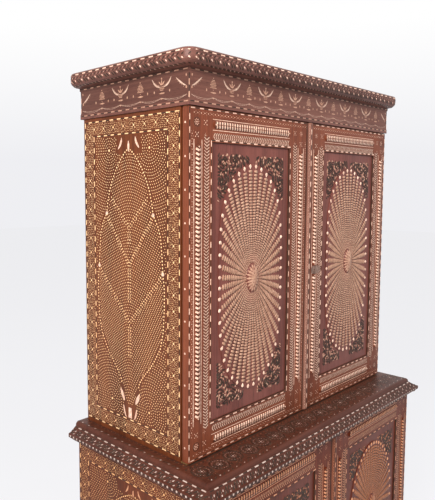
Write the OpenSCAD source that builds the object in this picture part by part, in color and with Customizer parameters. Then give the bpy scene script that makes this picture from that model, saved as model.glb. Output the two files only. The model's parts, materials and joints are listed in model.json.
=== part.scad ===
// Two-stage inlaid cupboard: an upper case with a pair of panelled doors under a frieze and a
// moulded cap, standing on a deeper base with a second pair of doors.
// X runs to the viewer's right, Y towards the back and Z up. The origin is on the floor, under
// the middle of the whole outline. Sizes are in millimetres.

/* [Upper case] */
// Width of the upper case and of its pair of doors
upper_w = 1082; // [960:2:1200]
// Height from the base's top surface to the underside of the frieze
upper_h = 940; // [800:10:1080]
// Depth from the face of the upper doors to the back edge of the sides
upper_d = 442; // [380:1:520]
// Thickness of the side boards of both stages
side_t = 22; // [18:1:26]
// Thickness of the upper case's bottom board
floor_t = 20; // [18:1:26]
// Thickness of the shelves
shelf_t = 18; // [14:1:24]
// Thickness of the back boards
back_t = 10; // [6:1:14]
// Number of back boards in each stage
back_boards = 4; // [2:1:6]
// Gap between neighbouring back boards
back_gap = 0.6; // [0.3:0.1:1.5]
// Distance from the back of the doors to the front edge of the shelves
shelf_set = 41; // [30:1:60]
// Width and height of the cleats that carry the shelves
cleat = 18; // [12:1:24]

/* [Frieze and cap] */
// Thickness of the board between the doors and the frieze
lip_t = 14; // [12:1:18]
// How far that board stands out past the doors and sides
lip_over = 4.5; // [3:0.5:8]
// How far the same board stands out behind the sides
lip_back = 12; // [11:1:20]
// Height of the frieze boards
frieze_h = 79; // [60:1:100]
// Thickness of the frieze boards at the foot
frieze_t = 18; // [14:1:24]
// Height of the moulding under the cap board
ovolo_h = 21; // [16:1:26]
// Thickness of the cap board
cap_t = 22; // [18:1:28]
// How far the cap stands out past the frieze
cap_over = 30; // [20:1:34]
// Radius of the cap's four corners, seen from above
cap_corner = 36; // [34:1:48]

/* [Base] */
// Height of the base's top surface above the floor
base_h = 850; // [760:10:940]
// How far the lower doors stand in front of the upper doors
step_front = 105; // [90:1:130]
// How far each side of the base stands out past the upper case
step_side = 36; // [25:1:50]
// Thickness of the base's top board
base_top_t = 21; // [18:1:26]
// Thickness of the top board's edge, where it lies over the moulding
base_top_edge = 13; // [13:1:17]
// Radius of the top board's rounded upper edge
base_top_round = 11; // [5:1:12]
// Height of the moulding under the top board's edge
nose_h = 49; // [42:1:56]
// Width of that moulding, from the case to its nose
nose_w = 32; // [28:1:40]
// Depth of the front rail behind the lower doors' backs
rail_back = 24; // [20:1:34]
// Height of the plinth boards
plinth_h = 72; // [50:1:100]
// Thickness of the plinth boards
plinth_t = 22; // [18:1:28]
// How far the plinth stands in from the edge of the board above it
plinth_in = 6; // [3:1:10]
// Thickness of the base's bottom board
deck_t = 18; // [18:1:24]
// How far the base's bottom board stands out past the doors and sides
deck_over = 12; // [8:1:16]

/* [Doors] */
// Thickness of the door frames
door_t = 28; // [28:1:34]
// Gap between the two doors of a pair
meeting_gap = 2; // [1.5:0.5:3]
// Gap between a door and the board above or below it
end_gap = 2; // [1.5:0.5:3]
// Gap between the back of a closed door and the case
back_clear = 1; // [0.8:0.1:2]
// Width of the stiles on the hinge side
hinge_stile_w = 89; // [80:1:100]
// Width of the left doors' meeting stiles
left_meeting_w = 94; // [86:1:104]
// Width of the right doors' meeting stiles, which carry the cover beads
right_meeting_w = 104; // [98:1:114]
// How far to the right of the middle the lower doors meet
lower_meeting_off = 12; // [0:1:16]
// Height of the upper doors' top rails
top_rail_h = 86; // [76:1:100]
// Height of the lower doors' top rails
lower_top_rail_h = 74; // [70:1:90]
// Height of the bottom rails
bottom_rail_h = 91; // [80:1:110]
// Depth of the groove that holds a panel
groove_d = 8; // [6:1:10]
// Thickness of a panel's tongue and width of its groove
tongue_t = 8; // [6:1:10]
// Depth from the frame's face to the front of that groove
groove_y = 14; // [13:1:16]
// Depth from the frame's face to the panel's raised field
field_y = 5; // [4:1:8]
// Gap left open round the raised field
field_gap = 0.8; // [0.5:0.1:2]
// Length of the rails' tenons
tenon_l = 34; // [20:1:40]
// Thickness of the tenons
tenon_t = 10; // [8:1:12]

/* [Applied ornament] */
// Width of the half-round strips
strip_w = 20; // [16:1:24]
// Height of the half-round strips above the frame
strip_rise = 5; // [3:0.5:7]
// Distance from a door's outer edge to its nearest strip
strip_in = 23; // [20:1:28]
// Distance from an upper door's top edge to the strip of its top rail
strip_top_in = 31; // [28:1:42]
// The same distance on a lower door
lower_strip_top_in = 12; // [8:1:22]
// Distance from a door's bottom edge to the strip of its bottom rail
strip_bottom_in = 30; // [26:1:42]
// Gap between the ends of neighbouring strips
strip_end_gap = 4; // [2:1:8]
// Distance from the meeting edge to the cover bead
bead_in = 3; // [2:1:6]
// Width of the cover bead
bead_w = 27; // [20:1:30]
// Thickness of the raised oval sunburst
burst_t = 3; // [2:0.5:4]
// Distance from the panel's edge to the sunburst's side
burst_side_in = 32; // [29:1:50]
// Distance from an upper panel's top or bottom edge to its sunburst
burst_end_in = 52; // [36:1:90]
// The same distance on a lower panel
lower_burst_end_in = 31; // [30:1:70]
// Fullness of an upper sunburst's ends, where 2 is an ellipse and less is more pointed
burst_end_power = 1.7; // [1.4:0.1:2.4]
// Fullness of an upper sunburst's sides, where 2 is an ellipse and more is straighter
burst_side_power = 3.8; // [2:0.1:5]
// Width of the oval boss in the middle of a sunburst
boss_w = 52; // [40:1:64]
// Height of the oval boss
boss_l = 86; // [70:1:100]
// How far the boss stands out from the sunburst
boss_rise = 9; // [6:1:12]

/* [Pivots and locks] */
// Radius of the pivot pins
pin_r = 4; // [3:0.5:5]
// Length of a pin inside a door
pin_l = 14; // [10:1:18]
// Distance from the pivot to the door's outer edge and to its back
pivot_in = 9; // [8:1:11]
// Running clearance round a pivot pin
run_fit = 0.05; // [0.03:0.01:0.1]
// Thickness of the pivot plates
plate_t = 3; // [2:0.5:4]
// Width of the pivot plates
plate_w = 34; // [28:1:40]
// Height of the keyhole above the middle of a door's height
key_up = -7; // [-40:1:40]
// Distance from the meeting edge to the keyhole
key_in = 56; // [52:1:58]
// Travel of a lock's bolt
lock_throw = 10; // [6:1:12]
// Height of a lock's case
lock_h = 70; // [50:1:90]
// Radius of the sliding door bolts
bolt_r = 4; // [3:0.5:4.5]
// Travel of a sliding door bolt
bolt_throw = 12; // [8:1:12]
// Clearance between a sliding door bolt and its guides
slide_fit = 0.1; // [0.05:0.05:0.3]
// Radius of the dowels between the two stages
dowel_r = 6; // [4:1:8]

/* [Hidden] */

red_wood = "#8f4a30";
dark_wood = "#6b3a2c";
inner_wood = "#9c6b46";
bone = "#dcc2a0";
brass = "#b08a4c";
iron = "#55504c";

// Free space left round tongues, tenons, inlet plates and mitres
play = 0.1;
// Free space round a lock's bolt, which belongs to another body
loose = 0.3;
// Pivot plates: reach in front of the pin, distance in from the door's outer edge, reach behind
// the pin where let into a board and where the plate is an arm, and the gap over such an arm
plate_front = 13;
plate_side = 1;
inlet_back = 9;
arm_back = 46;
foot_gap = 1;
// Depth that joined solids run into each other
bite = 0.01;
$fn = 48;

// Places in depth: front nose of the base, back of the cap and face of the upper doors
rail_set = 4;
nose_front = step_front - rail_set + nose_w;
total_d = nose_front + upper_d + lip_back + cap_over;
face_y = nose_front - total_d / 2;
lower_face_y = face_y - step_front;
case_y = face_y + door_t + back_clear;
lower_case_y = lower_face_y + door_t + back_clear;
sides_back_y = face_y + upper_d;
base_back_y = sides_back_y + back_t;

// Places in width and height
half_w = upper_w / 2;
base_half_w = half_w + step_side;
deck_top = plinth_h + deck_t;
rail_z = base_h - base_top_edge - nose_h;
base_case_top = base_h - base_top_t;
lip_z = base_h + upper_h;
frieze_z = lip_z + lip_t;
ovolo_z = frieze_z + frieze_h;
cap_z = ovolo_z + ovolo_h;

// Each door: width, height, meeting stile width, corner on the floor plan, foot height, hand
upper_door_w = (upper_w - meeting_gap) / 2;
lower_door_w = (2 * base_half_w - meeting_gap) / 2;
upper_foot_z = base_h + plate_t + foot_gap;
lower_foot_z = deck_top + end_gap;
upper_door_h = lip_z - end_gap - upper_foot_z;
lower_door_h = rail_z - end_gap - lower_foot_z;
UL = [upper_door_w, upper_door_h, left_meeting_w, -half_w, face_y, upper_foot_z, 1];
UR = [upper_door_w, upper_door_h, right_meeting_w, half_w, face_y, upper_foot_z, -1];
LL = [lower_door_w + lower_meeting_off, lower_door_h, left_meeting_w, -base_half_w, lower_face_y,
    lower_foot_z, 1];
LR = [lower_door_w - lower_meeting_off, lower_door_h, right_meeting_w, base_half_w, lower_face_y,
    lower_foot_z, -1];
function door_w(d) = d[0];
function door_h(d) = d[1];
function meeting_w(d) = d[2];
function hand(d) = d[6];
function is_lower(d) = d[5] < base_h;
function top_rail(d) = is_lower(d) ? lower_top_rail_h : top_rail_h;
function open_w(d) = door_w(d) - hinge_stile_w - meeting_w(d);
function open_h(d) = door_h(d) - top_rail(d) - bottom_rail_h;
function panel_x(d) = hinge_stile_w + open_w(d) / 2;
function panel_z(d) = bottom_rail_h + open_h(d) / 2;
function key_z(d) = door_h(d) / 2 + key_up;

// Shelves and dowels
shelf_y = case_y + shelf_set - back_clear;
upper_inside = upper_h - floor_t - 2 * shelf_t;
upper_shelf_z = [for (i = [1, 2]) base_h + floor_t + i * upper_inside / 3 + (i - 1) * shelf_t];
base_shelf_z = deck_top + (base_case_top - deck_top - shelf_t) / 2;
base_shelf_y = lower_case_y + shelf_set - back_clear;
dowel_l = 22;
dowel_sink = dowel_l / 2 + 1;
dowel_x = half_w - 90;
dowel_places = [for (x = [-dowel_x, dowel_x]) for (y = [case_y + 60, sides_back_y - 60]) [x, y]];

// Share of the wider meeting stile that the right doors' strips move in by
right_shift = 1.4;

// Sliding door bolts: where they run, how long they are and where they start
bolt_l = 70;
bolt_x_in = left_meeting_w / 2;
bolt_off = 7;
bolt_start = 1;
guide_w = 24;
guide_d = 14;
guide_h = 10;
guide_in = 16;
guide_span = 46;
knob_r = 4.5;
knob_l = 10;
knob_at = 42;
hole_fit = 0.6;
upper_floor_up = base_h + floor_t - upper_foot_z;
lower_floor_up = deck_top - lower_foot_z;

// Locks: case, bolt and cover plate
lock_d = 70;
lock_case_t = 12;
lock_y = (door_t - lock_case_t) / 2;
face_plate_t = 2;
face_plate_w = 16;
face_plate_more = 12;
lock_bolt_t = 6;
lock_bolt_h = 16;
lock_bolt_l = 28;
lock_bolt_up = 14;
strike_gap = 1;
escutcheon_w = 56;
escutcheon_h = 26;
escutcheon_t = 1.5;
escutcheon_off = 8;
keyhole_r = 3;
keyhole_l = 10;

// Outlines

// Points of a quarter of a circle from angle a to angle b
function arc(cx, cy, r, a, b, n = 8) =
    [for (i = [0:n]) [cx + r * cos(a + (b - a) * i / n), cy + r * sin(a + (b - a) * i / n)]];

// Oval whose powers across and upwards are both 2 when it is an ellipse
function oval(rx, ry, powers, n) =
    [for (i = [0:n - 1]) let (t = 360 * i / n, c = cos(t), s = sin(t))
        [rx * sign(c) * pow(abs(c), 2 / powers[0]), ry * sign(s) * pow(abs(s), 2 / powers[1])]];

// Section of the base moulding: outwards from the case, upwards from its foot
nose_bottom = 0.42 * nose_h;
nose_top = 0.64 * nose_h;
function nose_section() = concat(
    [[0, 0], [4, 0], [6, 2]],
    [for (i = [1:7]) let (t = i / 8) [6 + t * (nose_w - 8), 2 + (nose_bottom - 3) * pow(t, 1.35)]],
    arc(nose_w - 2, nose_bottom + 1, 2, -60, 0, 4),
    arc(nose_w - 2, nose_top - 1, 2, 0, 70, 4),
    [for (i = [1:7]) let (t = 1 - i / 8) [5 + t * (nose_w - 8), nose_h - (nose_h - nose_top) * pow(t, 0.85)]],
    [[4, nose_h], [0, nose_h]]);

// Section of the frieze: a shallow hollow under a small fillet
fillet_h = 10;
fillet_out = lip_over + 1;
hollow = 1.5;
function frieze_section() = concat(
    [[lip_over - frieze_t, 0], [lip_over - 1, 0]],
    [for (i = [0:8]) let (t = i / 8)
        [lip_over - 1 - hollow * sin(180 * t) * (1 - 0.3 * t), t * (frieze_h - fillet_h)]],
    [[fillet_out, frieze_h - fillet_h + 2], [fillet_out, frieze_h], [lip_over - frieze_t, frieze_h]]);

// Section of the moulding under the cap, outwards from the centre of the corner radius
ovolo_in = cap_corner - cap_over - lip_over;
ovolo_share = 0.85;
function ovolo_section() = concat(
    [[0, 0], [ovolo_in + fillet_out + 1, 0]],
    [for (i = [0:8]) let (t = i * 90 / 8)
        [cap_corner - (cap_corner - ovolo_in - fillet_out - 2) * (1 - sin(t)),
            0.5 + ovolo_h * ovolo_share * (1 - cos(t))]],
    [[cap_corner, ovolo_h], [0, ovolo_h]]);

// Section of the cap board's edge, from the same centre
cap_round = 9;
function cap_section() = concat([[0, 0], [cap_corner, 0]],
    arc(cap_corner - cap_round, cap_t - cap_round, cap_round, 0, 90, 6), [[0, cap_t]]);

// Helpers

// Extrudes a section along the front of a rectangle, with its outside towards -Y
module front_run(points, len) {
    translate([len / 2, 0, 0])
        rotate([90, 0, -90])
            linear_extrude(len) polygon(points);
}

// One side of a mitred band round a rectangle; turn is 0 front, -90 left, 90 right, 180 back
module mitred_run(points, half_x, half_y, turn, height) {
    out = 60;
    across = (turn == 0 || turn == 180) ? half_x : half_y;
    away = (turn == 0 || turn == 180) ? half_y : half_x;
    rotate([0, 0, turn])
        intersection() {
            translate([0, -away, 0]) front_run(points, 2 * (across + out));
            linear_extrude(height)
                polygon([[-across - out + play, -away - out], [across + out - play, -away - out],
                    [across - out - play, -away + out], [-across + out + play, -away + out]]);
        }
}

// A board with a shaped edge all round: quarter turns at the corners of the inner rectangle
module shaped_rim(points, half_x, half_y) {
    for (turn = [0, 180]) rotate([0, 0, turn]) translate([0, -half_y, 0]) front_run(points, 2 * half_x);
    for (turn = [90, -90]) rotate([0, 0, turn]) translate([0, -half_x, 0]) front_run(points, 2 * half_y);
    for (sx = [-1, 1]) for (sy = [-1, 1])
        translate([sx * half_x, sy * half_y, 0])
            rotate([0, 0, sx > 0 ? (sy > 0 ? 0 : -90) : (sy > 0 ? 90 : 180)])
                rotate_extrude(angle = 90, $fn = 64) polygon(points);
}

// Box between two corners
module block(a, b) {
    translate(a) cube([b[0] - a[0], b[1] - a[1], b[2] - a[2]]);
}

// A board whose upper edge is rounded at the front and the sides
module rounded_board(half_x, y0, y1, z0, t, r) {
    intersection() {
        translate([-half_x, y0, z0]) rotate([90, 0, 90])
            linear_extrude(2 * half_x)
                polygon(concat([[0, 0]], arc(r, t - r, r, 180, 90), [[y1 - y0, t], [y1 - y0, 0]]));
        translate([0, y1, z0]) rotate([90, 0, 0])
            linear_extrude(y1 - y0)
                polygon(concat([[half_x, 0]], arc(half_x - r, t - r, r, 0, 90),
                    arc(r - half_x, t - r, r, 90, 180), [[-half_x, 0]]));
    }
}

// Puts a door's own piece in place: x from the hinge edge, y from the face, z from the foot
module place(d) {
    translate([d[3], d[4], d[5]])
        if (hand(d) > 0) children();
        else mirror([1, 0, 0]) children();
}

// Pivots

// Plate with its pin. up is 1 when the pin points up; gap is the space from plate to door. The
// origin is on the pin's axis, at the plate's face towards the door
module pivot_plate(back, up, gap) {
    reach = pin_l + gap;
    translate([plate_side - pivot_in, -plate_front, up > 0 ? -plate_t : 0])
        cube([plate_w, plate_front + back, plate_t]);
    translate([0, 0, up > 0 ? -bite : -reach]) cylinder(h = reach + bite, r = pin_r);
}

// Pocket that takes a plate lying between z0 and z1
module plate_pocket(back, z0, z1) {
    translate([plate_side - pivot_in - play, -plate_front - play, z0])
        cube([plate_w + 2 * play, plate_front + back + 2 * play, z1 - z0]);
}

// Places of the plates: at a door's foot or head
module at_foot(d, face_z) {
    place([0, 0, 0, d[3], d[4], 0, hand(d)])
        translate([pivot_in, door_t - pivot_in, face_z]) children();
}

module pivot_plates() {
    color(brass) {
        for (d = [UL, UR]) {
            at_foot(d, base_h + plate_t) pivot_plate(arm_back, 1, foot_gap);
            at_foot(d, lip_z) pivot_plate(inlet_back, -1, end_gap);
        }
        for (d = [LL, LR]) {
            at_foot(d, deck_top) pivot_plate(inlet_back, 1, end_gap);
            at_foot(d, rail_z) pivot_plate(inlet_back, -1, end_gap);
        }
    }
}

// Square mortise that a left door's sliding bolt enters: up is 1 over the door and -1 under it
module bolt_hole(d, face_z, up) {
    deep = bolt_throw + 1;
    half = bolt_r + hole_fit;
    x = d[3] + door_w(d) - bolt_x_in;
    y = d[4] + door_t + bolt_off;
    z = up > 0 ? face_z - 1 : face_z - deep;
    block([x - half, y - half, z], [x + half, y + half, z + deep + 1]);
}

// Base

module plinth_run(turn) {
    half_x = base_half_w + deck_over - plinth_in;
    y0 = lower_face_y - deck_over + plinth_in;
    half_y = (base_back_y - y0) / 2;
    section = [[-plinth_t, 0], [0, 0], [0, plinth_h], [-plinth_t, plinth_h]];
    translate([0, y0 + half_y, 0]) mitred_run(section, half_x, half_y, turn, plinth_h);
}

module plinth_front() {
    color(dark_wood) plinth_run(0);
}

module plinth_returns() {
    color(dark_wood) for (turn = [-90, 90, 180]) plinth_run(turn);
}

module base_bottom_board() {
    color(dark_wood)
        difference() {
            rounded_board(base_half_w + deck_over, lower_face_y - deck_over, base_back_y,
                plinth_h, deck_t, 8);
            for (d = [LL, LR]) at_foot(d, deck_top) plate_pocket(inlet_back, -plate_t, 1);
            bolt_hole(LL, deck_top, -1);
        }
}

module base_side(s) {
    x = s > 0 ? base_half_w - side_t : -base_half_w;
    color(red_wood)
        block([x, lower_case_y, deck_top], [x + side_t, sides_back_y, base_case_top]);
}

module base_left_side() {
    base_side(-1);
}

module base_right_side() {
    base_side(1);
}

// Boards planted side by side on the back of a stage
module back_boards_of(half, z0, z1) {
    inset = side_t / 2;
    pitch = 2 * (half - inset) / back_boards;
    color(inner_wood)
        for (i = [0:back_boards - 1])
            block([-half + inset + i * pitch + back_gap / 2, sides_back_y, z0],
                [-half + inset + (i + 1) * pitch - back_gap / 2, base_back_y, z1]);
}

module base_back_boards() {
    back_boards_of(base_half_w, deck_top, base_case_top);
}

module base_front_rail() {
    color(dark_wood)
        difference() {
            union() {
                block([-base_half_w, lower_face_y + rail_set, rail_z],
                    [base_half_w, lower_case_y, base_case_top]);
                block([-base_half_w + side_t, lower_case_y - 1, rail_z],
                    [base_half_w - side_t, lower_case_y + rail_back, base_case_top]);
            }
            for (d = [LL, LR]) at_foot(d, rail_z) plate_pocket(inlet_back, -1, plate_t);
            bolt_hole(LL, rail_z, 1);
        }
}

// Top board of the base: its thinner edge lies over the moulding
module base_top_board() {
    edge = 4;
    edge_z = base_h - base_top_edge;
    front_y = lower_face_y + rail_set;
    color(dark_wood)
        difference() {
            union() {
                rounded_board(base_half_w + edge, front_y - edge, base_back_y, edge_z, base_top_edge,
                    base_top_round);
                block([-base_half_w + play, front_y + play, base_case_top],
                    [base_half_w - play, base_back_y, edge_z + bite]);
            }
            for (p = dowel_places)
                translate([p[0], p[1], base_h - dowel_sink])
                    cylinder(h = dowel_sink + 1, r = dowel_r + play);
        }
}

module base_moulding() {
    y0 = lower_face_y + rail_set;
    half_y = (base_back_y + nose_w * 2 - y0) / 2;
    color(dark_wood)
        intersection() {
            translate([0, y0 + half_y, rail_z])
                for (turn = [0, -90, 90]) mitred_run(nose_section(), base_half_w, half_y, turn, nose_h);
            block([-base_half_w * 2, y0 - nose_w * 2, rail_z], [base_half_w * 2, base_back_y, rail_z + nose_h]);
        }
}

module base_shelf() {
    color(inner_wood)
        block([-base_half_w + side_t, base_shelf_y, base_shelf_z],
            [base_half_w - side_t, sides_back_y, base_shelf_z + shelf_t]);
}

module shelf_cleats() {
    color(inner_wood) {
        for (z = upper_shelf_z) for (s = [-1, 1])
            side_cleat(s, half_w, shelf_y, z);
        for (s = [-1, 1])
            side_cleat(s, base_half_w, base_shelf_y, base_shelf_z);
    }
}

module side_cleat(s, half, y0, z) {
    x = s > 0 ? half - side_t - cleat : side_t - half;
    block([x, y0 + cleat, z - cleat], [x + cleat, sides_back_y - cleat, z]);
}

// Upper case

module upper_bottom_board() {
    color(inner_wood)
        difference() {
            block([-half_w + side_t, case_y, base_h], [half_w - side_t, sides_back_y, base_h + floor_t]);
            for (d = [UL, UR]) at_foot(d, base_h) plate_pocket(arm_back, -1, plate_t);
            bolt_hole(UL, base_h + floor_t, -1);
            for (p = dowel_places)
                translate([p[0], p[1], base_h - 1]) cylinder(h = dowel_sink + 1, r = dowel_r + play);
        }
}

module upper_side(s) {
    x = s > 0 ? half_w - side_t : -half_w;
    color(red_wood)
        difference() {
            block([x, case_y, base_h], [x + side_t, sides_back_y, lip_z]);
            at_foot(s > 0 ? UR : UL, base_h) plate_pocket(arm_back, -1, plate_t);
        }
}

module upper_left_side() {
    upper_side(-1);
}

module upper_right_side() {
    upper_side(1);
}

module upper_back_boards() {
    back_boards_of(half_w, base_h, lip_z);
}

module upper_top_board() {
    color(red_wood)
        difference() {
            block([-half_w - lip_over, face_y - lip_over, lip_z],
                [half_w + lip_over, sides_back_y + lip_back, frieze_z]);
            for (d = [UL, UR]) at_foot(d, lip_z) plate_pocket(inlet_back, -1, plate_t);
            bolt_hole(UL, lip_z, 1);
        }
}

// Rectangle that the frieze and the cap are measured from: the faces of the case
cap_half_y = (upper_d + lip_back - lip_over) / 2;
cap_mid_y = face_y + cap_half_y;

module frieze_run(turn) {
    translate([0, cap_mid_y, frieze_z])
        mitred_run(frieze_section(), half_w, cap_half_y, turn, frieze_h);
}

module frieze_front() {
    color(red_wood) frieze_run(0);
}

module frieze_returns() {
    color(red_wood) for (turn = [-90, 90, 180]) frieze_run(turn);
}

module cap_moulding() {
    half_x = half_w - ovolo_in;
    half_y = cap_half_y - ovolo_in;
    far = 80;
    color(dark_wood)
        translate([0, cap_mid_y, ovolo_z])
            for (turn = [0, 90, 180, 270])
                intersection() {
                    difference() {
                        union() {
                            shaped_rim(ovolo_section(), half_x, half_y);
                            block([-half_x, -half_y, 0], [half_x, half_y, ovolo_h]);
                        }
                        block([-half_x + frieze_t, -half_y + frieze_t, -1],
                            [half_x - frieze_t, half_y - frieze_t, ovolo_h + 1]);
                    }
                    rotate([0, 0, turn]) corner_wedge(turn % 180 == 0 ? half_x : half_y,
                        turn % 180 == 0 ? half_y : half_x, far);
                }
}

// Part of a ring that lies in front of the two diagonals through the inner corners
module corner_wedge(across, away, far) {
    linear_extrude(ovolo_h)
        polygon([[-across - far + play, -away - far], [across + far - play, -away - far],
            [across - frieze_t - play, -away + frieze_t], [-across + frieze_t + play, -away + frieze_t]]);
}

module cap_board() {
    half_x = half_w - ovolo_in;
    half_y = cap_half_y - ovolo_in;
    color(dark_wood)
        translate([0, cap_mid_y, cap_z]) {
            shaped_rim(cap_section(), half_x, half_y);
            block([-half_x, -half_y, 0], [half_x, half_y, cap_t]);
        }
}

module upper_shelves() {
    color(inner_wood)
        for (z = upper_shelf_z)
            block([-half_w + side_t, shelf_y, z], [half_w - side_t, sides_back_y, z + shelf_t]);
}

module stage_dowels() {
    color(inner_wood)
        for (p = dowel_places)
            translate([p[0], p[1], base_h - dowel_l / 2]) cylinder(h = dowel_l, r = dowel_r);
}

// Doors

// Groove for the panel along the inner edge at x, towards the stile's body
module stile_groove(d, x0, x1) {
    block([x0, groove_y, bottom_rail_h - groove_d],
        [x1, groove_y + tongue_t, door_h(d) - top_rail(d) + groove_d]);
}

tenon_in = 14;
tenon_y = groove_y - 1;
function tenon_spans(d) = [[tenon_in, bottom_rail_h - groove_d - 4],
    [door_h(d) - top_rail(d) + groove_d + 4, door_h(d) - tenon_in]];

module mortises(d, x0, x1) {
    for (s = tenon_spans(d))
        block([x0, tenon_y - play, s[0] - play], [x1, tenon_y + tenon_t + play, s[1] + play]);
}

module hinge_stile(d) {
    w = hinge_stile_w;
    color(red_wood)
        place(d)
            difference() {
                linear_extrude(door_h(d)) {
                    square([w, door_t - pivot_in]);
                    translate([pivot_in, 0]) square([w - pivot_in, door_t]);
                    translate([pivot_in, door_t - pivot_in]) circle(r = pivot_in);
                }
                stile_groove(d, w - groove_d, w + 1);
                mortises(d, w - tenon_l - play, w + 1);
                for (z = [-1, door_h(d) - pin_l - 1])
                    translate([pivot_in, door_t - pivot_in, z])
                        cylinder(h = pin_l + 2, r = pin_r + run_fit);
            }
}

module meeting_stile(d) {
    x0 = door_w(d) - meeting_w(d);
    color(red_wood)
        place(d)
            difference() {
                block([x0, 0, 0], [door_w(d), door_t, door_h(d)]);
                stile_groove(d, x0 - 1, x0 + groove_d);
                mortises(d, x0 - 1, x0 + tenon_l + play);
                if (hand(d) > 0) strike(d);
                else lock_cavity(d);
            }
}

// Slot in a left door's edge that receives the lock's bolt
module strike(d) {
    half_y = lock_bolt_t / 2 + strike_gap;
    half_z = lock_bolt_h / 2 + strike_gap;
    z = key_z(d) + lock_bolt_up;
    block([door_w(d) - lock_throw - 2, lock_mid_y() - half_y, z - half_z],
        [door_w(d) + 1, lock_mid_y() + half_y, z + half_z]);
}

function lock_mid_y() = door_t / 2;

module lock_cavity(d) {
    w = door_w(d);
    z = key_z(d);
    block([w - lock_d - play, lock_y - play, z - lock_h / 2 - play],
        [w + 1, lock_y + lock_case_t + play, z + lock_h / 2 + play]);
    block([w - face_plate_t - play, (door_t - face_plate_w) / 2 - play,
            z - lock_h / 2 - face_plate_more - play],
        [w + 1, (door_t + face_plate_w) / 2 + play, z + lock_h / 2 + face_plate_more + play]);
    translate([w - key_in, -1, z]) keyhole(lock_y + 2);
}

// Keyhole cut from front to back
module keyhole(len) {
    rotate([-90, 0, 0]) {
        cylinder(h = len, r = keyhole_r);
        translate([-keyhole_r / 2, 0, 0]) cube([keyhole_r, keyhole_l, len]);
    }
}

module lock(d) {
    w = door_w(d);
    z = key_z(d);
    bolt_z = z + lock_bolt_up;
    color(iron)
        place(d) {
            difference() {
                union() {
                    block([w - lock_d, lock_y, z - lock_h / 2],
                        [w - face_plate_t, lock_y + lock_case_t, z + lock_h / 2]);
                    block([w - face_plate_t - bite, (door_t - face_plate_w) / 2,
                            z - lock_h / 2 - face_plate_more],
                        [w, (door_t + face_plate_w) / 2, z + lock_h / 2 + face_plate_more]);
                }
                block([w - lock_bolt_l - 2, lock_mid_y() - lock_bolt_t / 2 - loose,
                        bolt_z - lock_bolt_h / 2 - loose],
                    [w + 1, lock_mid_y() + lock_bolt_t / 2 + loose, bolt_z + lock_bolt_h / 2 + loose]);
                translate([w - key_in, lock_y - 1, z]) keyhole(lock_case_t / 2);
            }
            translate([w - key_in - escutcheon_off, -escutcheon_t, z])
                difference() {
                    rotate([-90, 0, 0])
                        linear_extrude(escutcheon_t) {
                            square([escutcheon_w - escutcheon_h, escutcheon_h], center = true);
                            for (s = [-1, 1])
                                translate([s * (escutcheon_w - escutcheon_h) / 2, 0]) circle(d = escutcheon_h);
                        }
                    translate([escutcheon_off, -1, 0]) keyhole(escutcheon_t + 2);
                }
        }
}

module lock_bolt(d) {
    w = door_w(d);
    z = key_z(d) + lock_bolt_up;
    color(brass)
        place(d)
            block([w - lock_bolt_l, lock_mid_y() - lock_bolt_t / 2, z - lock_bolt_h / 2],
                [w - loose, lock_mid_y() + lock_bolt_t / 2, z + lock_bolt_h / 2]);
}

module rails(d) {
    x0 = hinge_stile_w;
    x1 = door_w(d) - meeting_w(d);
    h = door_h(d);
    color(red_wood)
        place(d) {
            difference() {
                union() {
                    block([x0, 0, 0], [x1, door_t, bottom_rail_h]);
                    tenons(d, 0, x0, x1);
                }
                block([x0 - 1, groove_y, bottom_rail_h - groove_d],
                    [x1 + 1, groove_y + tongue_t, bottom_rail_h + 1]);
            }
            difference() {
                union() {
                    block([x0, 0, h - top_rail(d)], [x1, door_t, h]);
                    tenons(d, 1, x0, x1);
                }
                block([x0 - 1, groove_y, h - top_rail(d) - 1],
                    [x1 + 1, groove_y + tongue_t, h - top_rail(d) + groove_d]);
            }
        }
}

module tenons(d, i, x0, x1) {
    s = tenon_spans(d)[i];
    block([x0 - tenon_l, tenon_y, s[0]], [x1 + tenon_l, tenon_y + tenon_t, s[1]]);
}

// Panel: a tongue all round and a raised field that nearly fills the opening
module panel(d) {
    ow = open_w(d);
    oh = open_h(d);
    edge = groove_d - 0.5;
    color(red_wood)
        place(d)
            translate([hinge_stile_w, 0, bottom_rail_h]) {
                block([-edge, groove_y + play, -edge], [ow + edge, groove_y + tongue_t - play, oh + edge]);
                block([field_gap, field_y, field_gap], [ow - field_gap, groove_y + 1, oh - field_gap]);
            }
}

function burst_half_w(d) = open_w(d) / 2 - burst_side_in;
function burst_half_h(d) = open_h(d) / 2 - (is_lower(d) ? lower_burst_end_in : burst_end_in);
function burst_powers(d) = is_lower(d) ? [2, 2] : [burst_end_power, burst_side_power];

// Raised oval with its boss: the boss is a dome made of shrinking ovals
module sunburst(d) {
    steps = 5;
    color(bone)
        place(d)
            translate([panel_x(d), field_y, panel_z(d)])
                rotate([90, 0, 0]) {
                    linear_extrude(burst_t)
                        polygon(oval(burst_half_w(d), burst_half_h(d), burst_powers(d), 72));
                    translate([0, 0, burst_t])
                        hull()
                            for (i = [0:steps])
                                let (a = 78 * i / steps)
                                translate([0, 0, boss_rise * sin(a) / sin(78) - (i == 0 ? 0 : 0.1)])
                                    linear_extrude(0.1)
                                        polygon(oval(boss_w / 2 * cos(a), boss_l / 2 * cos(a), [2, 2], 32));
                }
}

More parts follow.
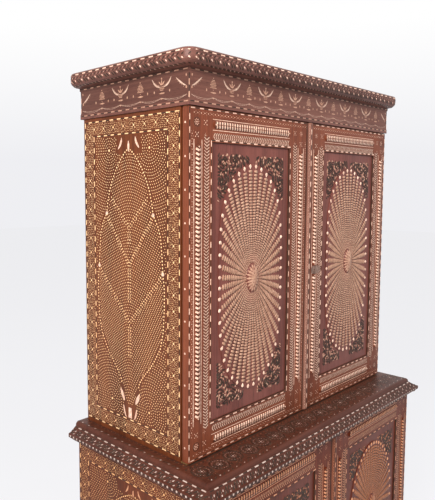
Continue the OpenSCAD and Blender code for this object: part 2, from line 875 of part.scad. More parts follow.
// Rounded strip of width w lying along Z from z0 to z1 and centred at x
module half_round(x, z0, z1, round_ends, w = strip_w) {
    r = (w * w / 4 + strip_rise * strip_rise) / (2 * strip_rise);
    len = z1 - z0;
    cut = round_ends ? w / 2 : 0;
    translate([x, 0, z0])
        intersection() {
            translate([0, r - strip_rise, 0]) cylinder(h = len, r = r, $fn = 96);
            rotate([90, 0, 0])
                linear_extrude(strip_rise + 1)
                    union() {
                        translate([-w / 2, cut]) square([w, len - 2 * cut]);
                        if (round_ends)
                            for (y = [cut, len - cut]) translate([0, y]) circle(r = w / 2);
                    }
        }
}

module strips(d) {
    w = door_w(d);
    h = door_h(d);
    across = strip_in + strip_w / 2;
    high = (is_lower(d) ? lower_strip_top_in : strip_top_in) + strip_w / 2;
    low = strip_bottom_in + strip_w / 2;
    side_z0 = bottom_rail_h + strip_w;
    side_z1 = h - top_rail(d) - strip_w / 2;
    shift = hand(d) > 0 ? 0 : (meeting_w(d) - hinge_stile_w) * right_shift;
    meeting_x = w - strip_in - strip_w / 2 - shift;
    rail_x0 = hinge_stile_w + strip_end_gap;
    rail_x1 = w - meeting_w(d) - strip_end_gap;
    gap = escutcheon_h / 2 + 1;
    color(red_wood)
        place(d) {
            half_round(across, side_z0, side_z1, true);
            if (hand(d) > 0)
                half_round(meeting_x, side_z0, side_z1, true);
            else {
                half_round(meeting_x, side_z0, key_z(d) - gap, true);
                half_round(meeting_x, key_z(d) + gap, side_z1, true);
            }
            translate([rail_x0, 0, low]) rotate([0, 90, 0]) half_round(0, 0, rail_x1 - rail_x0, true);
            translate([rail_x0, 0, h - high]) rotate([0, 90, 0]) half_round(0, 0, rail_x1 - rail_x0, true);
        }
}

module cover_bead(d) {
    color(red_wood)
        place(d)
            half_round(door_w(d) - bead_in - bead_w / 2, 0, door_h(d), false, bead_w);
}

// Sliding bolts on the back of a left door. up is 1 for the bolt at the head
function bolt_tip(d, up) = up > 0 ? door_h(d) - bolt_start
    : (is_lower(d) ? lower_floor_up : upper_floor_up) + bolt_start;

module bolt_guides(d) {
    color(brass)
        place(d)
            for (up = [-1, 1]) for (k = [0, 1])
                translate([door_w(d) - bolt_x_in, door_t, bolt_tip(d, up) - up * (guide_in + k * guide_span)])
                    difference() {
                        translate([-guide_w / 2, 0, -guide_h / 2]) cube([guide_w, guide_d, guide_h]);
                        translate([0, bolt_off, -guide_h]) cylinder(h = 2 * guide_h, r = bolt_r + slide_fit);
                    }
}

module door_bolt(d, up) {
    tip = bolt_tip(d, up);
    color(brass)
        place(d)
            translate([door_w(d) - bolt_x_in, door_t + bolt_off, 0]) {
                translate([0, 0, up > 0 ? tip - bolt_l : tip]) cylinder(h = bolt_l, r = bolt_r);
                translate([0, 0, tip - up * knob_at]) rotate([-90, 0, 0]) cylinder(h = knob_l, r = knob_r);
            }
}

plinth_front();
plinth_returns();
base_bottom_board();
base_left_side();
base_right_side();
base_back_boards();
base_front_rail();
base_top_board();
base_moulding();
base_shelf();
upper_bottom_board();
upper_left_side();
upper_right_side();
upper_back_boards();
upper_top_board();
frieze_front();
frieze_returns();
cap_moulding();
cap_board();
upper_shelves();
shelf_cleats();
pivot_plates();
stage_dowels();
hinge_stile(UL);  // upper_left_hinge_stile
meeting_stile(UL);  // upper_left_meeting_stile
rails(UL);  // upper_left_rails
panel(UL);  // upper_left_panel
sunburst(UL);  // upper_left_sunburst
strips(UL);  // upper_left_strips
bolt_guides(UL);  // upper_left_bolt_guides
door_bolt(UL, 1);  // upper_left_top_bolt
door_bolt(UL, -1);  // upper_left_bottom_bolt
hinge_stile(UR);  // upper_right_hinge_stile
meeting_stile(UR);  // upper_right_meeting_stile
rails(UR);  // upper_right_rails
panel(UR);  // upper_right_panel
sunburst(UR);  // upper_right_sunburst
strips(UR);  // upper_right_strips
cover_bead(UR);  // upper_right_cover_bead
lock(UR);  // upper_right_lock
lock_bolt(UR);  // upper_right_lock_bolt
hinge_stile(LL);  // lower_left_hinge_stile
meeting_stile(LL);  // lower_left_meeting_stile
rails(LL);  // lower_left_rails
panel(LL);  // lower_left_panel
sunburst(LL);  // lower_left_sunburst
strips(LL);  // lower_left_strips
bolt_guides(LL);  // lower_left_bolt_guides
door_bolt(LL, 1);  // lower_left_top_bolt
door_bolt(LL, -1);  // lower_left_bottom_bolt
hinge_stile(LR);  // lower_right_hinge_stile
meeting_stile(LR);  // lower_right_meeting_stile
rails(LR);  // lower_right_rails
panel(LR);  // lower_right_panel
sunburst(LR);  // lower_right_sunburst
strips(LR);  // lower_right_strips
cover_bead(LR);  // lower_right_cover_bead
lock(LR);  // lower_right_lock
lock_bolt(LR);  // lower_right_lock_bolt
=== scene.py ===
"""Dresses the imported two-stage cupboard: woods, bone and ebony inlay, metalwork, stage and camera.

Each group of pieces has its own operator, listed in a panel of the 3D view's sidebar. Inlay is laid
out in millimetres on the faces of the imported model, and every object is built in metres.
"""
import json
import math

import bpy
import numpy as np
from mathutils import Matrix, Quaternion, Vector

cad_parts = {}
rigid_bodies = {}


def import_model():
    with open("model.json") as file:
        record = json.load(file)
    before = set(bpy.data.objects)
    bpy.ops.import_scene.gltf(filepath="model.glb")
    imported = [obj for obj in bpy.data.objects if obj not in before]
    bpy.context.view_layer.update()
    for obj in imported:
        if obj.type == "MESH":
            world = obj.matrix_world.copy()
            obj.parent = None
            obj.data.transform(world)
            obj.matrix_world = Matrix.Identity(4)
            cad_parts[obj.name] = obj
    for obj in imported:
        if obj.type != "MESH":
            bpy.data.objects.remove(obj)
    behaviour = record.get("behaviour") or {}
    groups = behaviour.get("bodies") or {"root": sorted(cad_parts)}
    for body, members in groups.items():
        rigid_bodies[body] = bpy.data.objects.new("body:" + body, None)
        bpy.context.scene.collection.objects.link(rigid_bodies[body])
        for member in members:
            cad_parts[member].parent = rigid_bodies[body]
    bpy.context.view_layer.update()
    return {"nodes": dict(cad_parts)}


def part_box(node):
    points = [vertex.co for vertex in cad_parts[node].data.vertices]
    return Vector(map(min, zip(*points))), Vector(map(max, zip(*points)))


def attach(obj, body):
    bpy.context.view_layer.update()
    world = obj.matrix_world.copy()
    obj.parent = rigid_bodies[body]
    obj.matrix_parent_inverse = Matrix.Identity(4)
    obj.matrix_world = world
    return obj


bl_info = {
    "name": "Inlaid two-stage cupboard",
    "version": (1, 0, 0),
    "blender": (4, 5, 0),
    "location": "View3D > Sidebar > Cupboard",
    "description": "Builds the finishes, the inlay and the stage of an inlaid two-stage cupboard",
    "category": "Object",
}

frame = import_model()

# Directions of the frame, and turns in radians
X, Y, Z = np.eye(3)
QUARTER, FULL = math.pi / 2, 2 * math.pi

DOORS = ("upper_left", "upper_right", "lower_left", "lower_right")

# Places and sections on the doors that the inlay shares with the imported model, in millimetres
STRIP_IN = 33.0
STRIP_TOP = {"upper": 41.0, "lower": 22.0}
STRIP_FOOT = 40.0
STRIP_MEET = {"left": 33.0, "right": 54.0}
STRIP_SECTION = (10.0, 5.0)
BEAD_SECTION = (13.5, 5.0)
BEAD_MIDDLE = 16.5
BURST_POWERS = {"upper": (1.7, 3.8), "lower": (2.0, 2.0)}
BURST_PLATE = 3.0
BOSS = (26.0, 43.0, 9.0)
BOSS_FLAT = math.sin(math.radians(78))
TONGUE = 7.5
CHEVRON_PITCH = 8.4
LEAF_PAIR = 16.6


# Small modelling helpers

def box_mm(node):
    """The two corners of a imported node's box, in millimetres."""
    return [np.array(corner) * 1000 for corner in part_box(node)]


def deselect():
    """Nothing is selected or active, so that an operator acts on the new piece alone."""
    if bpy.context.mode != "OBJECT":
        bpy.ops.object.mode_set(mode="OBJECT")
    for o in bpy.context.scene.objects:
        o.select_set(False)
    bpy.context.view_layer.objects.active = None


def pick(test):
    """Selects the active mesh's vertices that pass the test on their place, in edit mode."""
    bpy.ops.object.mode_set(mode="OBJECT")
    me = bpy.context.object.data
    for part in (*me.polygons, *me.edges):
        part.select = False
    for v in me.vertices:
        v.select = bool(test(v.co))
    bpy.ops.object.mode_set(mode="EDIT")
    bpy.ops.mesh.select_mode(type="VERT")


class Piece:
    """The points and faces of one small inlay piece, kept in a unit box with its face up."""

    def __init__(self, smooth=False):
        bpy.ops.object.mode_set(mode="OBJECT")
        o = bpy.context.object
        me = o.data
        self.points = np.array([v.co for v in me.vertices], float)
        self.counts = np.array([len(p.vertices) for p in me.polygons])
        self.loops = np.concatenate([np.array(p.vertices) for p in me.polygons])
        self.smooth = np.array([smooth and p.normal.z > 0.3 for p in me.polygons])
        bpy.data.objects.remove(o)
        bpy.data.meshes.remove(me)


def cone_piece(sides, top, shape=(), smooth=False, crown=0.0):
    """A low many-sided piece: a cone is added, its top is raised or cut, and its outline shaped."""
    deselect()
    bpy.ops.mesh.primitive_cone_add(vertices=sides, radius1=0.5, radius2=0.5 * top, depth=2,
                                    rotation=(0, 0, QUARTER))
    bpy.ops.object.transform_apply(location=False, rotation=True, scale=False)
    if crown:
        pick(lambda c: c.z > 0.9)
        bpy.ops.transform.translate(value=(0, 0, -crown))
        bpy.ops.mesh.select_mode(type="FACE")
        bpy.ops.mesh.poke(offset=crown)
    for test, move, size in shape:
        pick(test)
        bpy.ops.transform.resize(value=size, center_override=(0, 0, 0))
        bpy.ops.transform.translate(value=move)
    return Piece(smooth)


def block(cuts, way):
    """A tall unit block in edit mode, cut across one direction at the given places."""
    deselect()
    bpy.ops.mesh.primitive_cube_add(size=1)
    bpy.ops.object.mode_set(mode="EDIT")
    bpy.ops.mesh.select_all(action="SELECT")
    bpy.ops.transform.resize(value=(1, 1, 2))
    for at in cuts:
        bpy.ops.mesh.select_all(action="SELECT")
        bpy.ops.mesh.bisect(plane_co=tuple(at * way), plane_no=tuple(way))


def rib_piece():
    """A slice of a rounded rib: flat along its length and arched across its width."""
    block((-0.25, 0.0, 0.25), Y)
    for inner, outer, drop in ((0.4, 1.0, 0.95), (0.2, 0.3, 0.22)):
        pick(lambda c, inner=inner, outer=outer: c.z > 0 and inner < abs(c.y) < outer)
        bpy.ops.transform.translate(value=(0, 0, -drop))
    pick(lambda c: abs(c.y) > 0.4)
    bpy.ops.transform.resize(value=(0.5, 1, 1), center_override=(0, 0, 0))
    return Piece(smooth=True)


def bar_piece(cuts=(), widths=()):
    """A bar with eased upper edges, cut across so that it can follow a bent face, and tapered by the
    widths at its ends and cuts."""
    block(cuts, X)
    pick(lambda c: c.z > 0)
    bpy.ops.transform.resize(value=(0.94, 0.7, 1), center_override=(0, 0, 0))
    for at, wide in zip((-0.5, *cuts, 0.5), widths):
        pick(lambda c, at=at: abs(c.x - at) < 0.04)
        bpy.ops.transform.resize(value=(1, wide, 1), center_override=(0, 0, 0))
    return Piece()


# Faces that inlay is set on

class Flat:
    """A flat face. u and v run along it and h stands out of it, in millimetres."""

    def __init__(self, origin, u_dir, v_dir):
        self.origin = np.array(origin, float)
        self.u, self.v = np.array(u_dir, float), np.array(v_dir, float)
        self.n = np.cross(self.u, self.v)

    def at(self, u, v, h):
        return self.origin + (np.outer(u, self.u) + np.outer(v, self.v) + np.outer(h, self.n)) * 0.001


class Bent(Flat):
    """A face bent across u. The section gives (across, out) points, and u runs along its line."""

    def __init__(self, origin, u_dir, v_dir, section, centred=False):
        super().__init__(origin, u_dir, v_dir)
        self.across, self.out = np.array(section, float).T
        step = np.diff([self.across, self.out])
        run = np.concatenate([[0], np.cumsum(np.hypot(*step))])
        self.length = run[-1]
        self.run = run - (run[-1] / 2 if centred else 0)
        turn = np.unwrap(np.arctan2(step[1], step[0]))
        self.turn = np.concatenate([[turn[0]], (turn[1:] + turn[:-1]) / 2, [turn[-1]]])

    def at(self, u, v, h):
        across, out, turn = (np.interp(u, self.run, x) for x in (self.across, self.out, self.turn))
        return super().at(across - h * np.sin(turn), v, out + h * np.cos(turn))

    def u_at(self, across):
        """u of a place across the face."""
        return np.interp(across, self.across, self.run)


class Dome(Flat):
    """The oval boss, a low dome with a flat top. u and v run from its centre."""

    def __init__(self, origin, u_dir, v_dir, half_u, half_v, rise):
        super().__init__(origin, u_dir, v_dir)
        self.half_u, self.half_v, self.rise = half_u, half_v, rise

    def at(self, u, v, h):
        r2 = (u / self.half_u) ** 2 + (v / self.half_v) ** 2
        out = self.rise * np.minimum(1, np.sqrt(np.clip(1 - r2, 0, 1)) / BOSS_FLAT)
        return super().at(u, v, out + h)


def arc_section(half, rise, steps=12):
    """Section of a half-round strip, from one edge to the other."""
    r = (half * half + rise * rise) / (2 * rise)
    a = math.asin(half / r)
    return [(r * math.sin(t), r * math.cos(t) - r + rise) for t in np.linspace(-a, a, steps + 1)]


class Tray:
    """Gathers the inlay of one object: many small pieces of one material."""

    sink = 0.35
    ease = 0.02

    def __init__(self):
        self.points, self.loops, self.counts, self.smooth, self.size = [], [], [], [], 0

    def add(self, points, loops, counts, smooth):
        self.points.append(points)
        self.loops.append(loops + self.size)
        self.counts.append(counts)
        self.smooth.append(smooth)
        self.size += len(points)

    def put(self, piece, face, u, v, turn=0.0, long=4.0, wide=4.0, high=0.25):
        """Sets copies of a piece on a face. turn is from u towards v, long runs along the piece."""
        u, v, turn, long, wide, high = np.broadcast_arrays(
            *[np.atleast_1d(np.asarray(x, float)) for x in (u, v, turn, long, wide, high)])
        n = len(u)
        if n == 0:
            return
        a, b, c = piece.points.T
        x, y = long[:, None] * a, wide[:, None] * b
        cos, sin = np.cos(turn)[:, None], np.sin(turn)[:, None]
        h = np.where(c > -0.99, (c + 1) / 2 * (high[:, None] + self.sink) - self.sink, -self.sink)
        points = face.at((u[:, None] + x * cos - y * sin).ravel(), (v[:, None] + x * sin + y * cos).ravel(),
                         h.ravel())
        base = np.arange(n)[:, None] * len(a)
        self.add(points, (piece.loops[None, :] + base).ravel(), np.tile(piece.counts, n),
                 np.tile(piece.smooth, n))

    def line(self, face, points, wide, high=0.2, taper=0.0, profile=1.0):
        """Lets a thin strip into a face along a line of points. The profile scales its width."""
        p = np.array(points, float)
        n = len(p)
        t = np.gradient(p, axis=0)
        t /= np.hypot(*t.T)[:, None] + 1e-9
        half = wide / 2 * (1 - taper * np.linspace(0, 1, n)) * profile
        side = np.stack([-t[:, 1], t[:, 0]], 1) * half[:, None]
        left, right = p + side, p - side
        middle = p * self.ease
        uv = np.stack([left, left * (1 - self.ease) + middle, right * (1 - self.ease) + middle, right], 1)
        h = np.tile([-self.sink, high, high, -self.sink], n)
        quads = [[4 * i + k, 4 * i + (k + 1) % 4, 4 * i + 4 + (k + 1) % 4, 4 * i + 4 + k]
                 for i in range(n - 1) for k in range(4)]
        e = 4 * (n - 1)
        quads += [[3, 2, 1, 0], [e, e + 1, e + 2, e + 3]]
        u, v = uv.reshape(-1, 2).T
        self.add(face.at(u, v, h), np.array(quads).ravel(), np.full(len(quads), 4),
                 np.zeros(len(quads), bool))

    def build(self, name, body, finish):
        """Makes the object, gives it its finish and lets it ride on its body."""
        if not self.points:
            raise ValueError(f"{name} has no pieces to set")
        co, loops, counts = (np.concatenate(x) for x in (self.points, self.loops, self.counts))
        me = bpy.data.meshes.new(name)
        me.vertices.add(len(co))
        me.vertices.foreach_set("co", co.astype(np.float32).ravel())
        me.loops.add(len(loops))
        me.loops.foreach_set("vertex_index", loops.astype(np.int32))
        me.polygons.add(len(counts))
        me.polygons.foreach_set("loop_start", np.concatenate([[0], np.cumsum(counts)[:-1]]).astype(np.int32))
        me.polygons.foreach_set("use_smooth", np.concatenate(self.smooth))
        me.update(calc_edges=True)
        me.validate()
        me.materials.append(MATERIALS[finish])
        o = bpy.data.objects.new(name, me)
        bpy.context.scene.collection.objects.link(o)
        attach(o, body)


# Materials

def socket_values(node, **values):
    """Sets a shader's own sockets by name."""
    for key, value in values.items():
        node.inputs[key.replace("_", " ")].default_value = value


def ramp(nt, source, stops):
    """A colour ramp with the given (place, colour) stops."""
    r = nt.nodes.new("ShaderNodeValToRGB")
    e = r.color_ramp.elements
    e[0].position, e[0].color = stops[0][0], (*stops[0][1], 1)
    e[1].position, e[1].color = stops[-1][0], (*stops[-1][1], 1)
    for at, colour in stops[1:-1]:
        e.new(at).color = (*colour, 1)
    nt.links.new(source, r.inputs["Fac"])
    return r.outputs["Color"]


def noise(nt, scale, detail, rough=0.5, distortion=0.0):
    """Noise on Object coordinates, with a scale for each direction."""
    place, mapping, n = (nt.nodes.new(f"ShaderNode{kind}") for kind in ("TexCoord", "Mapping", "TexNoise"))
    mapping.inputs["Scale"].default_value = scale
    socket_values(n, Scale=1, Detail=detail, Roughness=rough, Distortion=distortion)
    nt.links.new(place.outputs["Object"], mapping.inputs["Vector"])
    nt.links.new(mapping.outputs["Vector"], n.inputs["Vector"])
    return n.outputs["Fac"]


def blend_colours(nt, kind, factor, a, b):
    """A mix of two colours. The factor and the colours are values or sockets."""
    m = nt.nodes.new("ShaderNodeMix")
    m.data_type, m.blend_type = "RGBA", kind
    for value, name in ((factor, "Factor_Float"), (a, "A_Color"), (b, "B_Color")):
        s = next(i for i in m.inputs if i.identifier == name)
        if isinstance(value, bpy.types.NodeSocket):
            nt.links.new(value, s)
        else:
            s.default_value = value if name == "Factor_Float" else (*value, 1)
    return next(i for i in m.outputs if i.identifier == "Result_Color")


def spread(nt, source, low, high, from_low=0.3, from_high=0.7):
    """Maps a range of a value to another range."""
    m = nt.nodes.new("ShaderNodeMapRange")
    for key, value in (("From Min", from_low), ("From Max", from_high), ("To Min", low), ("To Max", high)):
        m.inputs[key].default_value = value
    nt.links.new(source, m.inputs["Value"])
    return m.outputs["Result"]


def new_material(name):
    m = bpy.data.materials.new(name)
    m.use_nodes = True
    return m, m.node_tree, m.node_tree.nodes["Principled BSDF"]


def dress(nt, shader, colour, rough, height, depth, strength=0.3, **sockets):
    """Gives a shader its colour, its roughness and a fine relief, and sets its other sockets."""
    b = nt.nodes.new("ShaderNodeBump")
    socket_values(b, Distance=depth, Strength=strength)
    socket_values(shader, **sockets)
    for source, target in ((colour, shader.inputs["Base Color"]), (rough, shader.inputs["Roughness"]),
                           (height, b.inputs["Height"]), (b.outputs["Normal"], shader.inputs["Normal"])):
        nt.links.new(source, target)


def wood(name, tones, grain, gloss=0.45, coat=0.0, wear=0.25):
    """Lacquered hardwood: streaks and broad figure along the grain, pores, and worn patches."""
    m, nt, shader = new_material(name)
    dark, mid, light = tones

    def grained(across, along):
        return [along if axis == grain else across for axis in "xyz"]

    streak = noise(nt, grained(190.0, 4.0), 4, 0.6, 0.3)
    figure = noise(nt, grained(17.0, 1.3), 3, 0.5, 1.2)
    pores = noise(nt, grained(900.0, 60.0), 2, 0.6)
    patch = noise(nt, (5, 5, 5), 4, 0.6)
    grain_colour = ramp(nt, figure, [(0.3, dark), (0.5, mid), (0.72, light)])
    streaks = ramp(nt, streak, [(0.32, [c * 0.55 for c in mid]), (0.5, mid), (0.7, light)])
    colour = blend_colours(nt, "MIX", 0.5, grain_colour, streaks)
    pits = ramp(nt, pores, [(0.28, (0.35, 0.3, 0.28)), (0.42, (1, 1, 1))])
    colour = blend_colours(nt, "MULTIPLY", 0.7, colour, pits)
    worn = spread(nt, patch, 0, wear, 0.45, 0.7)
    colour = blend_colours(nt, "MULTIPLY", worn, colour, (0.45, 0.36, 0.36))
    dress(nt, shader, colour, spread(nt, patch, gloss - 0.08, gloss + 0.14), streaks, 0.0002, 0.35,
          Coat_Weight=coat, Coat_Roughness=0.25, Specular_IOR_Level=0.2)
    return m


def bone(name, light, dark, gloss=0.32):
    """Bone let into the wood: each piece a little different, with faint veins and yellowing."""
    m, nt, shader = new_material(name)
    tone = noise(nt, (140, 140, 140), 1)
    vein = noise(nt, (420, 420, 90), 4, 0.7)
    colour = ramp(nt, tone, [(0.3, dark), (0.5, [(a + b) / 2 for a, b in zip(light, dark)]), (0.66, light)])
    veins = ramp(nt, vein, [(0.3, (0.72, 0.6, 0.5)), (0.5, (1, 1, 1))])
    colour = blend_colours(nt, "MULTIPLY", 0.6, colour, veins)
    dress(nt, shader, colour, spread(nt, vein, gloss - 0.06, gloss + 0.12), vein, 0.0001,
          Specular_IOR_Level=0.3)
    return m


def ebony(name):
    """Near-black wood with a brown cast and a dull shine."""
    m, nt, shader = new_material(name)
    tone = noise(nt, (60, 60, 60), 3, 0.6)
    streak = noise(nt, (500, 500, 60), 3, 0.6)
    colour = ramp(nt, tone, [(0.3, (0.020, 0.009, 0.006)), (0.6, (0.045, 0.026, 0.018)),
                             (0.75, (0.07, 0.05, 0.034))])
    dress(nt, shader, colour, spread(nt, streak, 0.28, 0.5), streak, 0.0001, Specular_IOR_Level=0.15)
    return m


def metal(name, light, dark, gloss):
    """Aged metal: darker in patches, with fine scratches."""
    m, nt, shader = new_material(name)
    patch = noise(nt, (70, 70, 70), 4, 0.6)
    scratch = noise(nt, (900, 900, 60), 3, 0.6)
    dress(nt, shader, ramp(nt, patch, [(0.35, dark), (0.62, light)]),
          spread(nt, scratch, gloss - 0.08, gloss + 0.15), scratch, 0.0001, Metallic=0.9)
    return m


def show_to_seen_rays(nt, share, plain, shown, output):
    """Lets the camera's rays, and those of metal and glass, meet the shown shader by a share, and
    all other rays the plain one."""
    path = nt.nodes.new("ShaderNodeLightPath")
    rays = path.outputs["Is Camera Ray"]
    for kind in ("Is Glossy Ray", "Is Transmission Ray"):
        either = nt.nodes.new("ShaderNodeMath")
        either.operation = "MAXIMUM"
        nt.links.new(rays, either.inputs[0])
        nt.links.new(path.outputs[kind], either.inputs[1])
        rays = either.outputs[0]
    part = nt.nodes.new("ShaderNodeMath")
    part.operation = "MULTIPLY"
    part.inputs[1].default_value = share
    mix = nt.nodes.new("ShaderNodeMixShader")
    for source, target in ((rays, part.inputs[0]), (part.outputs[0], mix.inputs[0]),
                           (plain.outputs[0], mix.inputs[1]), (shown.outputs[0], mix.inputs[2]),
                           (mix.outputs[0], nt.nodes[output].inputs["Surface"])):
        nt.links.new(source, target)


def pale_floor(name, tone, glow):
    """Matt floor with a very faint unevenness; the camera sees it pale, with a soft shadow."""
    m, nt, shader = new_material(name)
    unevenness = noise(nt, (3, 3, 3), 3)
    nt.links.new(ramp(nt, unevenness, [(0.3, [c * 0.98 for c in tone]), (0.7, tone)]),
                 shader.inputs["Base Color"])
    socket_values(shader, Roughness=0.9, Specular_IOR_Level=0.1)
    bright = nt.nodes.new("ShaderNodeEmission")
    bright.inputs["Color"].default_value = (0.97, 0.97, 1.0, 1)
    show_to_seen_rays(nt, glow, shader, bright, "Material Output")
    return m


# Rows and shapes on a face

def headings(turn):
    """Unit vectors along a turn and square to it."""
    cos, sin = math.cos(turn), math.sin(turn)
    return np.array([cos, sin]), np.array([-sin, cos])


def steps_along(p0, p1, pitch):
    """Evenly spaced places between two points: the places, the direction and the true pitch."""
    p0, p1 = np.array(p0, float), np.array(p1, float)
    d = p1 - p0
    length = math.hypot(*d)
    n = max(1, round(length / pitch))
    at = p0 + np.outer((np.arange(n) + 0.5) / n, d)
    return at, math.atan2(d[1], d[0]), length / n


def along_line(points, pitch):
    """Evenly spaced places and directions along a broken line."""
    p = np.array(points, float)
    d = np.diff(p, axis=0)
    run = np.concatenate([[0], np.cumsum(np.hypot(*d.T))])
    n = max(2, int(round(run[-1] / pitch)))
    at = (np.arange(n) + 0.5) / n * run[-1]
    k = np.clip(np.searchsorted(run, at) - 1, 0, len(d) - 1)
    return np.stack([np.interp(at, run, x) for x in p.T], 1), np.arctan2(d[k, 1], d[k, 0])


def near_line(p, polygon):
    """Distance of each point from a closed broken line."""
    best = np.full(len(p), 1e9)
    q = np.array(polygon, float)
    for a, b in zip(q, np.roll(q, -1, axis=0)):
        d = b - a
        t = np.clip(((p[:, :2] - a) @ d) / (d @ d + 1e-9), 0, 1)
        best = np.minimum(best, np.hypot(*(p[:, :2] - a - t[:, None] * d).T))
    return best


def inside_polygon(u, v, polygon):
    """True for the points inside a closed polygon."""
    inside = np.zeros(len(u), bool)
    p = np.array(polygon, float)
    for (x0, y0), (x1, y1) in zip(p, np.roll(p, -1, axis=0)):
        if y0 != y1:
            inside ^= ((y0 > v) != (y1 > v)) & (u < (x1 - x0) * (v - y0) / (y1 - y0) + x0)
    return inside


def outside_oval(p, half, powers, margin):
    """True for the points outside an oval widened by a margin."""
    u, v = np.abs(p[:, 0]) / (half[0] + margin), np.abs(p[:, 1]) / (half[1] + margin)
    return u ** powers[0] + v ** powers[1] > 1


def oval_reach(direction, half, powers):
    """Distance from an oval's centre to its outline in each direction."""
    low, high = np.zeros(len(direction)), np.full(len(direction), max(half) * 1.5)
    for _ in range(40):
        mid = (low + high) / 2
        out = outside_oval(mid[:, None] * direction, half, powers, 0)
        low, high = np.where(out, low, mid), np.where(out, mid, high)
    return low


def oval_ring(half, n):
    """n points evenly spaced along an ellipse, counted from its top."""
    t = np.linspace(0, FULL, 721)
    p = np.stack([half[0] * np.sin(t), half[1] * np.cos(t)], 1)
    run = np.concatenate([[0], np.cumsum(np.hypot(*np.diff(p, axis=0).T))])
    at = (np.arange(n) + 0.5) / n * run[-1]
    return np.stack([np.interp(at, run, x) for x in p.T], 1)


def ray_directions(n, aspect):
    """Directions of the rays: even steps of an ellipse of the boss's proportions, from the top."""
    t = (np.arange(n) + 0.5) * FULL / n
    d = np.stack([aspect * np.sin(t), np.cos(t)], 1)
    return d / np.hypot(*d.T)[:, None]


def spindle(tray, face, points, wide, high):
    """A leaf let in along a line: widest in its middle, pointed at both ends."""
    profile = np.sin(np.linspace(0.12, math.pi - 0.12, len(points))) ** 0.8
    tray.line(face, points, wide, high, profile=profile)


def dashes(bones, dark, face, p0, p1, settings, wide=3.4):
    """A line of long bone dashes with dark dashes between them."""
    at, turn, pitch = steps_along(p0, p1, settings.dash_pitch)
    step = headings(turn)[0] * pitch / 4
    bones.put(BAR, face, *(at - step).T, turn, 0.48 * pitch, wide, settings.relief)
    dark.put(BAR, face, *(at + step).T, turn, 0.46 * pitch, wide, settings.relief * 0.7)


def inset(box, margin):
    """A rectangle given as (u0, v0, u1, v1), drawn in by a margin."""
    return box[0] + margin, box[1] + margin, box[2] - margin, box[3] - margin


def sides_of(box):
    """Start and end of each side of a rectangle, in order round it."""
    u0, v0, u1, v1 = box
    corners = [(u0, v0), (u1, v0), (u1, v1), (u0, v1)]
    return zip(corners, corners[1:] + corners[:1])


def frame_dashes(bones, dark, face, box, settings, wide):
    """Dashes round a rectangle."""
    for p0, p1 in sides_of(box):
        dashes(bones, dark, face, p0, p1, settings, wide)


def little_band(bones, dark, face, p0, p1, settings, pitch=13.3, half=5.0):
    """A narrow band: a dot and two leaning seeds at each step."""
    at, turn, pitch = steps_along(p0, p1, pitch)
    t, n = headings(turn)
    bones.put(DOT, face, *at.T, turn, 4.2, 4.2, settings.relief)
    for s in (-1, 1):
        bones.put(SEED, face, *(at + t * pitch / 2 + n * s * half * 0.62).T, turn + s * 0.7, 5.2, 2.4,
                  settings.relief)
        dark.put(SEED, face, *(at + n * s * half * 0.72).T, turn, 4.0, 1.8, settings.relief * 0.6)


def herringbone(bones, dark, face, p0, p1, half, settings):
    """Two columns of leaning bars that meet in chevrons."""
    at, turn, pitch = steps_along(p0, p1, CHEVRON_PITCH)
    t, n = headings(turn)
    lean, fill, gap_fill = 0.62, 0.46, 0.2
    slant = math.cos(lean)
    long = half * 0.98 / slant
    for s in (-1, 1):
        p = at + n * s * half * 0.52
        q = p + t * pitch / 2
        way = turn + s * (QUARTER - lean)
        bones.put(BAR, face, *p.T, way, long, fill * pitch * slant, settings.relief)
        dark.put(BAR, face, *q.T, way, long * 0.9, gap_fill * pitch * slant, settings.relief * 0.6)


def star(tray, face, u, v, size, settings, turn=0.0, rays=4):
    """A small flower: leaves round a dot."""
    for k in range(rays):
        a = turn + FULL * k / rays
        u_leaf, v_leaf = (np.asarray(x) + way * size * 0.36 for x, way in zip((u, v), headings(a)[0]))
        tray.put(SEED, face, u_leaf, v_leaf, a, size * 0.5, size * 0.26, settings.relief)
    tray.put(DOT, face, u, v, 0, size * 0.28, size * 0.28, settings.relief * 1.3)


def leaning_row(bones, dark, face, at, v0, v1, pitch, lean, size=13.0, wide=5.6):
    """A row of bone drops, each between two dark leaves that lean the same way, and a seed by it."""
    steps, _, pitch = steps_along((at, v0), (at, v1), pitch)
    u, v = steps.T
    turn = QUARTER + lean
    bones.put(DROP, face, u, v, turn, size, wide, 0.5)
    for shift in (-0.34, 0.34):
        dark.put(LEAF, face, u, v + shift * pitch, turn, size * 1.5, wide * 1.25, 0.45)
    bones.put(SEED, face, u + 0.25 * size * math.copysign(1, lean), v + 0.5 * pitch, turn, size * 0.62,
              wide * 0.45, 0.4)


# Doors

